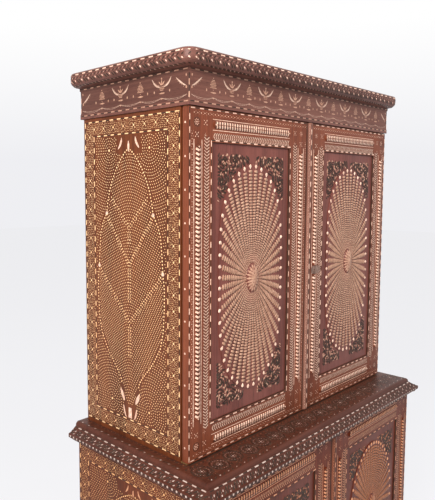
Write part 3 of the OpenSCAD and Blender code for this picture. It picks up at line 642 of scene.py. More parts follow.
class Door:
    """Sizes of one door in millimetres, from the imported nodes. s runs from its hinge edge."""

    def __init__(self, name):
        self.name, self.body = name, f"{name}_door"
        self.stage, self.side = name.split("_")
        # The base's finishes carry the painted shade of the lower stage
        self.tint = "upper" if self.stage == "upper" else "base"
        self.hand = 1 if self.side == "left" else -1
        hinge, meet, panel, burst = (box_mm(f"{name}_{part}")
                                     for part in ("hinge_stile", "meeting_stile", "panel", "sunburst"))
        self.foot, self.top = hinge[0][2], hinge[1][2]
        self.hinge_x = hinge[0][0] if self.hand > 0 else hinge[1][0]
        self.free_x = meet[1][0] if self.hand > 0 else meet[0][0]
        self.open_u = (panel[0][0] + TONGUE, panel[1][0] - TONGUE)
        self.open_v = (panel[0][2] + TONGUE, panel[1][2] - TONGUE)
        self.centre = ((burst[0][0] + burst[1][0]) / 2, (burst[0][2] + burst[1][2]) / 2)
        self.half = ((burst[1][0] - burst[0][0]) / 2, (burst[1][2] - burst[0][2]) / 2)
        self.face_y = hinge[0][1] / 1000
        self.plate_y = panel[0][1] / 1000 - BURST_PLATE / 1000
        self.front = Flat((0, self.face_y, 0), X, Z)
        self.field = Flat((0, panel[0][1] / 1000, 0), X, Z)
        self.plate = Flat((0, self.plate_y, 0), X, Z)
        self.strip_meet = STRIP_MEET[self.side]
        self.strip_top = STRIP_TOP[self.stage]
        self.powers = BURST_POWERS[self.stage]

    def u(self, s):
        """u of a place s from the hinge edge."""
        return self.hinge_x + self.hand * s

    def from_free(self, s):
        """u of a place s from the free edge."""
        return self.free_x - self.hand * s


def door_frame(door, bones, dark, fine, settings):
    """Bands, dashes and stringing on a door's stiles and rails, and dark strips of painted shade on the
    frame's inner edges.
    """
    f, foot, top = door.front, door.foot, door.top
    (lo_u, hi_u), (lo_v, hi_v) = door.open_u, door.open_v
    left = door.side == "left"
    edge, gap = door.u(2.3), 4.2
    free = door.from_free(3.0 if left else 34.0)
    dashes(bones, dark, f, (edge, foot + 4), (edge, top - 2), settings, 3.6)
    for v in (top - 3.8, foot + 5.5):
        dashes(bones, dark, f, (door.u(6), v), (free, v), settings)
    frame_dashes(bones, dark, f, inset((lo_u, lo_v, hi_u, hi_v), -gap), settings, gap)

    # Narrow bands inside the outer dashes
    def upright_band(u):
        little_band(bones, dark, f, (u, lo_v - 28), (u, hi_v + 24), settings)

    upright_band(door.u(11.5))
    for v in (foot + 17.5,) if door.stage == "lower" else (top - 15, foot + 17.5):
        little_band(bones, dark, f, (door.u(12), v), (free, v), settings)
    if left:
        upright_band(door.from_free(8.5))
    # Chevrons between the strips and the panel
    for u in (door.u(67.0), door.from_free(door.strip_meet + 32.0)):
        herringbone(fine, dark, f, (u, lo_v - 12), (u, hi_v + 12), 10.0, settings)
    for v in (top - door.strip_top - 30.0, lo_v - 20.0):
        herringbone(fine, dark, f, (lo_u + 4, v), (hi_u - 4, v), 8.6, settings)
    # Bone lines on both sides of the strips
    for u in (door.u(STRIP_IN - 15.0), door.u(STRIP_IN + 15.0), door.from_free(door.strip_meet + 15.5),
              door.from_free(door.strip_meet - 14.5)):
        bones.line(f, [(u, lo_v + 6), (u, hi_v + 4)], 2.0)
    for v in (top - door.strip_top, foot + STRIP_FOOT):
        for s in (-14.0, 14.0):
            bones.line(f, [(lo_u + 2, v + s), (hi_u - 2, v + s)], 1.6)
    # Dark stringing where the doors meet, which also paints the shadow in the gap between them, and dark
    # strips of painted shade on the inner edges of the frame
    meet = door.from_free(1.3)
    dark.line(f, [(meet, foot + 2), (meet, top - 2)], 2.2)
    # Painted shade: dark strips on the jambs of the panel's opening
    deep = door.face_y * 1000 + 2.5
    for origin, a, b, ends in (((lo_u / 1000, 0, 0), Y, Z, [(deep, lo_v), (deep, hi_v)]),
                               ((hi_u / 1000, 0, 0), -Y, Z, [(-deep, lo_v), (-deep, hi_v)]),
                               ((0, 0, lo_v / 1000), X, Y, [(lo_u, deep), (hi_u, deep)]),
                               ((0, 0, hi_v / 1000), X, -Y, [(lo_u, -deep), (hi_u, -deep)])):
        dark.line(Flat(origin, a, b), ends, 4.4, 0.2)


def corner_squares(door, bones, dark, settings):
    """Flowers in a door's four corners: a rosette outside, a flower inside, crosses by both."""
    f = door.front
    head = door.top - door.strip_top + 3
    outer = (door.u(29), door.u(62), 19, 0.2, 8)
    inner = (door.from_free(door.strip_meet), door.from_free(door.strip_meet + 34), 17, 0.0, 6)
    for v_a, v_b in ((head, head - 32), (door.foot + 39, door.foot + 70)):
        for near, far, size, turn, rays in (outer, inner):
            star(bones, f, near, v_a, size, settings, turn, rays)
            if rays == 8:
                ring = np.linspace(0, FULL, 17)
                dark.line(f, np.stack([near + 11.5 * np.cos(ring), v_a + 11.5 * np.sin(ring)], 1), 1.6)
            for cu, cv in ((far, v_a), (near, v_b)):
                star(bones, f, cu, cv, 20, settings, math.pi / 4)
                star(dark, f, cu, cv, 13, settings)
            star(bones, f, far, v_b, 11, settings)


def strip_inlay(bones, dark, door, settings, centre, ends, upright=True):
    """Chevrons of bone and ebony on one half-round strip."""
    section = arc_section(*STRIP_SECTION)
    if upright:
        face, sign, pitch = Bent((centre / 1000, door.face_y, 0), X, Z, section, centred=True), 1, 11.7
    else:
        face, sign, pitch = Bent((0, door.face_y, centre / 1000), Z, -X, section, centred=True), -1, 10.6
        ends = (-ends[1], -ends[0])
    start, end = ends
    n = max(1, round((end - start - 12) / pitch))
    step = (end - start - 12) / n
    v = start + 6 + (np.arange(n) + 0.5) * step
    relief = settings.relief
    for s in (-1, 1):
        bones.put(BENT_BAR, face, s * 5.4, v, s * 0.5 * sign, 10.4, 0.56 * step, relief)
        dark.put(BENT_BAR, face, s * 5.4, v + step / 2, s * 0.5 * sign, 9.6, 0.26 * step, relief * 0.7)
    dark.put(DOT, face, 0, v + sign * step * 0.1, 0, 2.4, 3.0, relief * 1.4)
    bones.put(DOT, face, 0, np.array([start + 5, end - 5, (start + end) / 2]), 0, 6.5, 6.5, relief * 1.6)


def door_strips(door, bones, dark, settings):
    """The chevrons of a door's four half-round strips. A lock's plate parts the one by it."""
    (lo_u, hi_u), (lo_v, hi_v) = door.open_u, door.open_v
    start, end = lo_v + 20, hi_v - 10
    meet = door.from_free(door.strip_meet)
    strip_inlay(bones, dark, door, settings, door.u(STRIP_IN), (start, end))
    parts = [(start, end)]
    if door.side == "right":
        plate = sum(box_mm(f"{door.name}_lock"))[2] / 2
        parts = [(start, plate - 14), (plate + 14, end)]
    for part in parts:
        strip_inlay(bones, dark, door, settings, meet, part)
    for level in (door.top - door.strip_top, door.foot + STRIP_FOOT):
        strip_inlay(bones, dark, door, settings, level, (lo_u + 4, hi_u - 4), upright=False)


def door_edges(door, bones, dark, fine, settings):
    """Dots down a door's hinge edge, and dashes and a band on a right door's cover bead."""
    edge = Flat((door.hinge_x / 1000, 0, 0), -Y * door.hand, Z)
    middle = -door.hand * (door.face_y * 1000 + 14)
    v = np.linspace(door.foot + 40, door.top - 40, 11 if door.stage == "upper" else 8)
    bones.put(DOT, edge, middle, v, 0, 7.5, 7.5, settings.relief * 1.4)
    if door.side == "right":
        bead = Bent((door.from_free(BEAD_MIDDLE) / 1000, door.face_y, 0), X, Z, arc_section(*BEAD_SECTION),
                    centred=True)
        start, end = door.foot + 3, door.top - 3
        dashes(bones, dark, bead, (1.5, start), (1.5, end), settings, 5.0)
        little_band(fine, dark, bead, (-8.0, start), (-8.0, end), settings, 9.0, 3.0)


# Panels

def sunburst(door, bones, drops, dark, settings):
    """Rays of rounded bone scales that grow outwards, each with a drop at its end."""
    directions = ray_directions(settings.rays, settings.ray_aspect)
    rim = oval_reach(directions, (door.half[0] - 4.5, door.half[1] - 6.5), door.powers)
    angles = np.unwrap(np.arctan2(directions[:, 0], directions[:, 1]))
    steps = (np.roll(angles, -1) - np.roll(angles, 1)) % FULL / 2
    cu, cv = door.centre
    hub_u, hub_v = 31.0, 48.0
    for d, reach, step_angle in zip(directions, rim, steps):
        turn = math.atan2(d[1], d[0])
        start = 1 / math.hypot(d[0] / hub_u, d[1] / hub_v)
        scales, r = [], reach - 8.0
        while r > start:
            step = 5.6 + 5.0 * (r / reach) ** 1.4 * min(1.0, reach / 260 + 0.35)
            scales.append((r - step / 2, step))
            r -= step
        at, long = np.array(scales).T
        wide = np.minimum(16.0, 0.9 * step_angle * at)
        back = at - long / 2
        bones.put(RIB, door.plate, cu + d[0] * at, cv + d[1] * at, turn, long * 0.74, wide, 0.3 + wide * 0.1)
        dark.put(SEED, door.plate, cu + d[0] * back, cv + d[1] * back, turn + QUARTER, wide * 0.95, 1.7, 0.2)
        drops.put(DROP, door.plate, cu + d[0] * reach, cv + d[1] * reach, turn, 15, 12, 2.4)
        # Dark threads along both sides of the ray
        side = np.array([-d[1], d[0]])
        at = np.linspace(start * 1.5, reach - 12, 14)
        for s in (-1, 1):
            away = np.minimum(7.0, 0.44 * step_angle * at) * s
            thread = np.array([cu, cv]) + np.outer(at, d) + np.outer(away, side)
            dark.line(door.plate, thread, 1.1, 0.15)


def boss(door, bones, dark):
    """Petals on the oval boss, with a ring of beads and a ring of dark seeds round its foot."""
    cu, cv = door.centre
    half_u, half_v, _ = BOSS
    dome = Dome((cu / 1000, door.plate_y, cv / 1000), X, Z, *BOSS)
    u, v = oval_ring((half_u + 2.6, half_v + 2.8), 28).T
    bones.put(DOT, door.plate, cu + u, cv + v, np.arctan2(v, u), 4.4, 5.2, 1.4)
    u, v = oval_ring((half_u + 5.6, half_v + 6.0), 40).T
    dark.put(SEED, door.plate, cu + u, cv + v, np.arctan2(v, u) + QUARTER, 5.5, 2.2, 0.4)
    for count, at, long, wide in ((18, 0.78, 14.0, 7.6), (14, 0.5, 13.0, 7.4), (9, 0.24, 11.0, 6.4)):
        u, v = oval_ring((half_u * at, half_v * at), count).T
        bones.put(LEAF, dome, u, v, np.arctan2(v * 0.8, u), long, wide, 1.1)
    bones.put(DOT, dome, 0, 0, 0, 12, 18, 1.8)


def spandrels(door, bones, dark, settings):
    """Scrolling foliage in the four corners of a panel."""
    hu = (door.open_u[1] - door.open_u[0]) / 2 - 27
    hv = (door.open_v[1] - door.open_v[0]) / 2 - 29
    reach = 128.0 if door.stage == "upper" else 92.0
    rng = np.random.default_rng(7)
    pitch, margin, field = settings.leaf_pitch, 5.0, door.field
    # Three scroll centres: one in the corner, one further along each side
    eyes = np.array([[hu - 24, hv - 26], [hu - 15, hv - 74], [hu - 70, hv - 14]])
    spots = np.array([[hu - 52, hv - 26], [hu - 34, hv - 50], [hu - 22, hv - 92], [hu - 4, hv - 34],
                      [hu - 44, hv - 40], [hu - 12, hv - 56]])
    for su in (-1, 1):
        for sv in (-1, 1):
            def place(points):
                """u and v of points given from the panel's centre towards this corner."""
                return (points * [su, sv] + door.centre).T

            # Leaves turn round the scroll centres
            uu, vv = np.meshgrid(np.arange(hu - 4, 4, -pitch), np.arange(hv - 4, hv - reach, -pitch))
            vv = vv + (np.arange(vv.shape[1]) % 2)[None, :] * pitch / 2
            p = np.stack([uu.ravel(), vv.ravel()], 1) + rng.uniform(-1.6, 1.6, (uu.size, 2))
            far = np.stack([np.hypot(*(p - e).T) for e in eyes])
            k = far.argmin(0)
            u, v = (p - eyes[k]).T
            turn = np.arctan2(v, u) + np.where(k == 1, -1.0, 1.0) * 1.15
            turn = np.arctan2(np.sin(turn) * sv, np.cos(turn) * su)
            keep = outside_oval(p, door.half, door.powers, margin) & (p[:, 0] < hu) & (p[:, 1] < hv)
            keep &= p[:, 0] > (34 if sv < 0 else 12)
            p, turn, near = p[keep], turn[keep], far.min(0)[keep]
            pale = (rng.random(len(p)) < (0.26 if sv > 0 else 0.34)) & (near > 5)
            long = rng.uniform(11, 15, (~pale).sum())
            dark.put(LEAF, field, *place(p[~pale]), turn[~pale], long, 6.4, 1.1)
            bones.put(LEAF, field, *place(p[pale]), turn[pale], 8.5, 4.6, 1.0)
            for eye, size in zip(eyes, (15, 11, 10)):
                t = np.linspace(0.4, 2.4 * math.pi, 34)
                r = size * (1 - t / (2.9 * math.pi))
                dark.line(field, place(eye + np.stack([r * np.cos(t), r * np.sin(t)], 1)).T, 2.2, 1.3)
                bones.put(DOT, field, *place(eye), 0, 6.0, 7.0, 1.2)
            clear = spots[outside_oval(spots, door.half, door.powers, margin)]
            bones.put(DOT, field, *place(clear), 0, 7.0, 8.5, 1.3)
        edge = np.array([[58, hv - 2], [86, hv - 3], [112, hv - 1]]) * [su, 1] + door.centre
        bones.put(DOT, field, *edge.T, 0, 9.0, 7.0, 1.3)


# Side boards

# Figure of the side's field on a unit board: u to the front, v up
OUTLINE = [(0.10, 0.045), (0.17, 0.075), (0.27, 0.143), (0.41, 0.177), (0.55, 0.205), (0.70, 0.244),
           (0.83, 0.286), (0.90, 0.342), (0.93, 0.421), (0.93, 0.491), (0.895, 0.536), (0.875, 0.59),
           (0.84, 0.655), (0.77, 0.692), (0.65, 0.728), (0.62, 0.765), (0.55, 0.812), (0.46, 0.85),
           (0.345, 0.887), (0.22, 0.918), (0.09, 0.942), (0.0, 0.953)]
JOINTS = [(0.895, 0.536), (0.65, 0.728)]
VEES = [((0.895, 0.536), 0.352), ((0.65, 0.728), 0.556), ((0.52, 0.79), 0.687)]
FLOWERS = [(0.56, 0.950), (0.53, 0.050)]


class Field:
    """A side board's field: its box, and the tall ogee figure with its vees placed in it."""

    height_as_drawn = 830
    shape_as_drawn = 2.64

    def __init__(self, face, box):
        self.face, self.box = face, box
        self.u0, self.v0, self.u1, self.v1 = box
        self.half, self.h, self.mid = (self.u1 - self.u0) / 2, self.v1 - self.v0, (self.u0 + self.u1) / 2
        self.squat = self.h / (2 * self.half) / self.shape_as_drawn
        self.scale = self.h / self.height_as_drawn
        left = [self.place(*p) for p in OUTLINE]
        self.figure = left + [(2 * self.mid - u, v) for u, v in reversed(left[:-1])]
        self.vees = [(self.place(*a), self.place(0, tip), self.place(-a[0], a[1])) for a, tip in VEES]

    def place(self, w, v):
        """Place of a point of the unit board."""
        return self.mid - w * self.half, self.v0 + v * self.h

    def vee_height(self, k, u):
        """Height of a vee's line at u."""
        (ua, va), (_, vb), _ = self.vees[k]
        return va + (vb - va) * (1 - np.abs(u - self.mid) / (self.mid - ua))

    def inside(self, p):
        return inside_polygon(p[:, 0], p[:, 1], self.figure)


def rows_of(base, low, high, pitch, step, u0, u1):
    """Seeds in rows that repeat a base curve upwards, every other row moved on by half a step."""
    u = np.arange(u0, u1, 0.5)
    shape = base(u)
    run = np.concatenate([[0], np.cumsum(np.hypot(np.diff(u), np.diff(shape)))])
    slope = np.gradient(shape, u)
    out = []
    for k, z in enumerate(np.arange(low, high, pitch)):
        at = np.arange((k % 2) * step / 2, run[-1], step)
        uu = np.interp(at, run, u)
        out.append(np.stack([uu, z + np.interp(uu, u, shape), np.arctan(np.interp(uu, u, slope))], 1))
    return np.concatenate(out)


def figure_rows(field, bones, settings):
    """Rows of seeds inside the figure, steeper towards its foot, between one vee and the next."""
    bend = 30
    for slope, below, above in ((0.42, 2, None), (0.36, 1, 2), (0.5, 0, 1), (0.85, None, 0)):
        def base(u, slope=slope * field.squat):
            d = np.abs(u - field.mid)
            return -slope * (np.sqrt(d * d + bend ** 2) - bend)

        p = rows_of(base, field.v0 - 0.2 * field.h, field.v1 + 0.3 * field.h, settings.row_pitch,
                    settings.seed_step, field.u0, field.u1)
        keep = field.inside(p) & (near_line(p, field.figure) > 5.0)
        if below is not None:
            keep &= p[:, 1] > field.vee_height(below, p[:, 0]) + 5.0
        if above is not None:
            keep &= p[:, 1] < field.vee_height(above, p[:, 0]) - 14.0
        bones.put(SEED, field.face, *p[keep].T, settings.seed_long, settings.seed_wide, settings.relief)


def flower_circles(field, bones, settings):
    """Circles of seeds round four flowers, outside the figure."""
    flowers = [field.place(m * w, v) for w, v in FLOWERS for m in (1, -1)]
    u0, v0, u1, v1 = inset(field.box, 3)
    for i, (fu, fv) in enumerate(flowers):
        bones.put(DOT, field.face, fu, fv, 0, 9, 9, settings.relief * 2)
        out = []
        for r in np.arange(11, 560, settings.row_pitch):
            n = int(FULL * r / settings.seed_step)
            a = (np.arange(n) + 0.5 * (n % 2)) / n * FULL
            out.append(np.stack([fu + r * np.cos(a), fv + r * np.sin(a), a + (0 if r < 24 else QUARTER)], 1))
        p = np.concatenate(out)
        u, v = p[:, 0], p[:, 1]
        keep = (u > u0) & (u < u1) & (v > v0) & (v < v1) & ~field.inside(p)
        for j, (gu, gv) in enumerate(flowers):
            if j != i:
                keep &= np.hypot(u - fu, v - fv) < np.hypot(u - gu, v - gv) - 2
        # Room for the leaves at the figure's foot and top
        away = np.abs(u - field.mid)
        keep &= (away > 0.16 * field.half) | (v > field.v0 + 0.09 * field.h)
        keep &= (away > 0.34 * field.half) | (v < field.v1 - 0.062 * field.h)
        p = p[keep]
        p = p[near_line(p, field.figure) > settings.plain_band]
        bones.put(SEED, field.face, *p.T, settings.seed_long, settings.seed_wide, settings.relief)


def figure_beads(field, bones, leaves, settings):
    """Beads along the figure and its vees, and large dots where they meet."""
    face, mid, relief = field.face, field.mid, settings.relief
    p, turn = along_line(field.figure, 9.4)
    keep = p[:, 1] > field.v0 + 0.12 * field.h
    bones.put(DOT, face, *p[keep].T, turn[keep], 6.6, 6.0, relief * 1.5)
    for vee, tail in zip(field.vees, (92.0, 100.0, 40.0)):
        for drop, size in ((0, 5.8), (-10.0, 5.0)):
            p, turn = along_line([(a, b + drop) for a, b in vee], 9.2)
            keep = field.inside(p)
            bones.put(DOT, face, *p[keep].T, turn[keep], size, size, relief * 1.4)
        tip = vee[1][1] - 14
        at, _, _ = steps_along((mid, tip), (mid, tip - tail * field.h / field.height_as_drawn), 9.0)
        for m in (-4.5, 4.5):
            bones.put(DOT, face, at[:, 0] + m, at[:, 1], 0, 4.8, 4.8, relief * 1.4)
    for joint in JOINTS:
        u, v = field.place(*joint)
        leaves.put(DOT, face, np.array([u, 2 * mid - u]), v, 0, 14, 14, relief * 2.4)


def field_leaves(field, leaves, settings):
    """A stem and leaves at the figure's foot, and three leaves at its top."""
    face, mid, s, high = field.face, field.mid, field.scale, settings.relief * 2
    foot, top = field.v0, field.v1
    leaves.line(face, [(mid, foot + 3 * s), (mid, foot + 34 * s)], 15.0, 0.4, 0.1)
    short, long = np.linspace(0, 1, 8), np.linspace(0, 1, 10)
    for m in (-1, 1):
        for points, wide in (
                ([(mid + m * (25 + 17 * t) * s, foot + (50 + 34 * t) * s) for t in short], 11.5 * s),
                ([(mid + m * (16 + 13 * math.sqrt(t)), foot + (2 + 34 * t) * s) for t in long], 5.5),
                ([(mid + m * (30 + 16 * t * t) * s, top - (8 + 32 * t) * s) for t in short], 7.5 * s)):
            spindle(leaves, face, points, wide, high)
    spindle(leaves, face, [(mid, top - (18 + 30 * t) * s) for t in short], 8.0 * s, high)


def border_dots(bones, fine, dark, face, box, band, settings, seed):
    """A border of star flowers amid small scattered dots, between two lines of dashes."""
    for margin in (0, band):
        frame_dashes(bones, dark, face, inset(box, margin), settings, 3.6)
    flowers = np.concatenate([steps_along(p0, p1, settings.star_pitch)[0]
                              for p0, p1 in sides_of(inset(box, band / 2))])
    u, v = flowers.T
    star(bones, face, u, v, 20.0, settings, math.pi / 4)
    bones.put(DOT, face, u, v, 0, 8.0, 8.0, settings.relief * 1.6)
    u0, v0, u1, v1 = box
    pitch, edge = settings.scatter_pitch, 3.4
    rng = np.random.default_rng(seed)
    uu, vv = np.meshgrid(np.arange(u0 + 4, u1 - 3, pitch), np.arange(v0 + 4, v1 - 3, pitch))
    uu = uu + (np.arange(uu.shape[0]) % 2)[:, None] * pitch / 2
    p = np.stack([uu.ravel(), vv.ravel()], 1) + rng.uniform(-0.24, 0.24, (uu.size, 2)) * pitch
    u, v = p.T
    depth = np.minimum(np.minimum(u - u0, u1 - u), np.minimum(v - v0, v1 - v))
    keep = (depth > edge) & (depth < band - edge)
    for flower in flowers:
        keep &= np.hypot(*(p - flower).T) > 9.0
    p = p[keep]
    size = rng.uniform(3.6, 5.2, len(p))
    fine.put(SEED, face, *p.T, rng.uniform(0, math.pi, len(p)), size * 1.25, size, settings.relief)


def side_inlay(node, settings):
    """Lays out one side board: its border, and the field inside it."""
    lo, hi = box_mm(node)
    left, upper = "_left_" in node, node.startswith("upper")
    face = Flat(((lo[0] if left else hi[0]) / 1000, 0, 0), -Y if left else Y, Z)
    u0, u1 = (-hi[1] + 6, -lo[1] - 5) if left else (lo[1] + 5, hi[1] - 6)
    foot = lo[2] + (14.0 if upper else 10.0)
    head = hi[2] - 12.0 if upper else box_mm("base_moulding")[0][2] - 4.0
    box, band = (u0, foot, u1, head), 43.0
    seeds, leaves, border, fine, dark = (Tray() for _ in range(5))
    border_dots(border, fine, dark, face, box, band, settings, 3 if left else 5)
    field = Field(face, inset(inset(box, band), 3))
    figure_rows(field, seeds, settings)
    flower_circles(field, seeds, settings)
    figure_beads(field, seeds, leaves, settings)
    field_leaves(field, leaves, settings)
    name, stage = node.replace("_side", ""), node.split("_")[0]
    side_bone = f"{stage}_side_bone"
    for tray, part, finish in ((seeds, "field_bone", side_bone), (leaves, "leaf_bone", f"{stage}_bone"),
                               (border, "border_bone", side_bone), (fine, "border_seeds", side_bone),
                               (dark, "ebony", "ebony")):
        tray.build(f"{name}_side_{part}", "root", finish)


# Frieze, cap and base

def four_runs(lo, hi, level):
    """The four sides of a box, each as its origin, its direction, and its start and end along it."""
    z = level / 1000
    return {
        "front": ((0, lo[1] / 1000, z), -X, -hi[0], -lo[0]),
        "left": ((lo[0] / 1000, 0, z), Y, lo[1], hi[1]),
        "right": ((hi[0] / 1000, 0, z), -Y, -hi[1], -lo[1]),
        "back": ((0, hi[1] / 1000, z), X, lo[0], hi[0]),
    }


def spire(bones, fine, face, v):
    """A small tree of stacked bars over a bar and a dot. Called like a palmette, which uses fine."""
    bones.put(SEED, face, 61.5, v, QUARTER, 6.5, 6.5, 0.5)
    for up, wide in ((56.0, 11.0), (52.2, 17.0), (48.4, 21.0), (44.6, 25.0), (40.8, 21.0), (37.0, 26.0)):
        bones.put(BENT_BAR, face, up, v, QUARTER, wide, 2.3, 0.3)
    bones.put(SEED, face, 31.0, v, QUARTER, 9.0, 4.0, 0.3)
    bones.put(LEAF, face, 24.2, v, QUARTER, 24.0, 5.2, 0.4)
    bones.put(DOT, face, 9.8, v, QUARTER, 9.0, 5.0, 0.4)


def palmette(bones, fine, face, v):
    """A fan with two raised arms over a bar and a dot."""
    bones.put(DOT, face, 61.5, v, QUARTER, 6.5, 6.0, 0.5)
    for a in (-0.75, 0.0, 0.75):
        bones.put(LEAF, face, 46 + 6 * math.cos(a), v + 9 * math.sin(a), a, 15.0, 4.6, 0.4)
    for up, wide in ((40.5, 11.0), (36.6, 19.0), (32.6, 13.0)):
        bones.put(BENT_BAR, face, up, v, QUARTER, wide, 2.3, 0.3)
    bones.put(LEAF, face, 24.2, v, QUARTER, 22.0, 5.2, 0.4)
    bones.put(DOT, face, 9.8, v, QUARTER, 9.0, 5.0, 0.4)
    t = np.linspace(0, 1, 14)
    for m in (-1, 1):
        arm = np.stack([40 + 6 * t + 17 * t ** 3, v + m * (5 + 31 * t)], 1)
        spindle(fine, face, arm, 4.6, 0.35)
        # Barbs along the arm's lower side
        turn = np.arctan2(np.gradient(arm[:, 1]), np.gradient(arm[:, 0]))[2:13] + m * 0.9
        p = arm[2:13] - np.stack([np.cos(turn), np.sin(turn)], 1) * 4.6
        bones.put(SEED, face, *p.T, turn, 5.0, 2.2, 0.3)


def garland(fine, face, v0, v1, pitch):
    """Two threads that hang from motif to motif, less where the motifs are close."""
    t = np.linspace(0, 1, 14)
    for hang in (5.0, 8.5):
        sag = hang * ((v1 - v0) / pitch) * 4 * t * (1 - t)
        fine.line(face, np.stack([12.0 - sag, v0 + (v1 - v0) * t], 1), 0.6)


def wing(bones, fine, face, end, m, room):
    """A rising leaf with barbs that fills the room between a frieze's end and its first motif."""
    reach = np.linspace(0, 1, 12)
    line = np.stack([34 + 24 * reach ** 1.4, end + m * (12 + room * reach)], 1)
    spindle(fine, face, line, 4.2, 0.35)
    for u, v in line[1::2]:
        bones.put(SEED, face, u - 5.0, v, 0.7 * m, 7, 3.0, 0.3)


def frieze_inlay(settings):
    """Spires and palmettes in turn, with dots between them and a garland below."""
    lo, hi = box_mm("upper_top_board")
    f_lo, f_hi = box_mm("frieze_front")
    height, fillet, hollow = f_hi[2] - f_lo[2], 10.0, 1.5
    t = np.linspace(0, 1, 9)
    section = [(a, b - 1) for a, b in
               zip(t * (height - fillet), -hollow * np.sin(np.pi * t) * (1 - 0.3 * t))]
    section += [(height - fillet + 2, 1.0), (height, 1.0)]
    bones, fine, dark = Tray(), Tray(), Tray()
    # Distance of a side's first motif from its front corner, and the kinds in turn
    plans = {"front": (93.0, settings.motif_pitch, (spire, palmette)),
             "left": (101.0, settings.side_motif_pitch, (palmette, spire))}
    plans["right"] = plans["left"]
    for side, (origin, along, v0, v1) in four_runs(lo, hi, f_lo[2]).items():
        if side == "back":
            continue
        first, pitch, motifs = plans[side]
        face = Bent(origin, Z, along, section)
        lip = Flat((origin[0], origin[1], lo[2] / 1000), Z, along)
        top = face.length - 4.5
        dashes(bones, dark, face, (top, v0 + 4), (top, v1 - 4), settings, 3.6)
        dashes(bones, dark, lip, (9.5, v0 + 3), (9.5, v1 - 3), settings, 3.6)
        corner, way = (v0, 1) if side == "left" else (v1, -1)
        places = [corner + way * at for at in np.arange(first, v1 - v0 - 50, pitch)]
        for k, v in enumerate(places):
            motifs[k % 2](bones, fine, face, v)
            beside = np.array([v - 0.345 * pitch, v + 0.345 * pitch])
            bones.put(DOT, face, 29.0, beside, 0, 9.5, 5.6, 0.4)
        ties = sorted([v0 + 9, *places, v1 - 9])
        for a, b in zip(ties, ties[1:]):
            garland(fine, face, a, b, pitch)
        for end, m in ((v0, 1), (v1, -1)):
            edge = end + m * 2.6
            dashes(bones, dark, face, (3, edge), (height - fillet - 4, edge), settings, 3.2)
            room = min(36.0, min(abs(v - end) for v in places) - 52.0)
            if room > 12:
                wing(bones, fine, face, end, m, room)
            bones.put(DOT, face, np.array([30.0, 60.0]), end + m * 12.0, 0, 9.0, 6.0, 0.4)
    bones.build("frieze_bone", "root", "upper_burst_bone")
    fine.build("frieze_threads", "root", "upper_band_bone")
    dark.build("frieze_ebony", "root", "ebony")


def cap_inlay(settings):
    """Dashes under the cap's upper edge, and leaning drops and dark leaves below them."""
    lo, hi = box_mm("cap_board")
    m_lo, m_hi = box_mm("cap_moulding")
    thick, depth = hi[2] - lo[2], m_hi[2] - m_lo[2]
    round_r, corner, ovolo_in = settings.cap_round, 36.0, 9.0
    curve = depth * settings.cap_upright
    section = [(0.5 + curve * (1 - math.cos(t)), -(corner - ovolo_in) * (1 - math.sin(t)))
               for t in np.linspace(0, QUARTER, 9)]
    section += [(depth + thick - round_r + round_r * math.sin(a), round_r * math.cos(a) - round_r)
                for a in np.linspace(0, QUARTER, 7)]
    # Heights of the rows over the moulding's foot
    edge, ledge, belly, foot = depth + thick - 8.0, depth + 5.0, 16.0, 4.2
    bones, dark = Tray(), Tray()
    for origin, along, v0, v1 in four_runs(lo, hi, m_lo[2]).values():
        face, v0, v1 = Bent(origin, Z, along, section), v0 + corner - 3, v1 - corner + 3
        top = face.u_at(edge)
        dashes(bones, dark, face, (top, v0), (top, v1), settings, 3.8)
        leaning_row(bones, dark, face, face.u_at(belly), v0, v1, settings.dash_pitch, -0.75)
        for height, turn, leaf, seed, high in ((foot, QUARTER - 0.7, (14, 6.0), (7.5, 3.0), 0.45),
                                               (ledge, QUARTER + 0.7, (13, 4.6), (6, 2.2), 0.4)):
            at = face.u_at(height)
            steps, _, step = steps_along((at, v0), (at, v1), settings.dash_pitch / 2)
            dark.put(LEAF, face, *steps.T, turn, *leaf, high)
            bones.put(SEED, face, steps[:, 0], steps[:, 1] + step / 2, turn, *seed, high - 0.05)
    # Round the corners, on turned faces
    for su, u_corner in ((-1, -(hi[0] - corner)), (1, hi[0] - corner)):
        for sv, v_corner in ((-1, lo[1] + corner), (1, hi[1] - corner)):
            for angle in (np.arange(3) + 0.5) / 3 * QUARTER:
                d = np.array([su * math.cos(angle), sv * math.sin(angle), 0])
                origin = (np.array([u_corner, v_corner, m_lo[2]]) + d * corner) / 1000
                face = Bent(origin, Z, np.cross(d, Z), section)
                for height, lean, long, wide, tray, piece in (
                        (edge, 0, 8, 3.8, bones, DROP), (belly, -0.75, 9, 5.4, bones, DROP),
                        (ledge, 0.7, 10, 4.4, dark, LEAF), (foot, -0.7, 10, 5, dark, LEAF)):
                    tray.put(piece, face, face.u_at(height), 0, QUARTER + lean, long, wide, 0.45)
    bones.build("cap_bone", "root", "upper_bone")
    dark.build("cap_ebony", "root", "ebony")


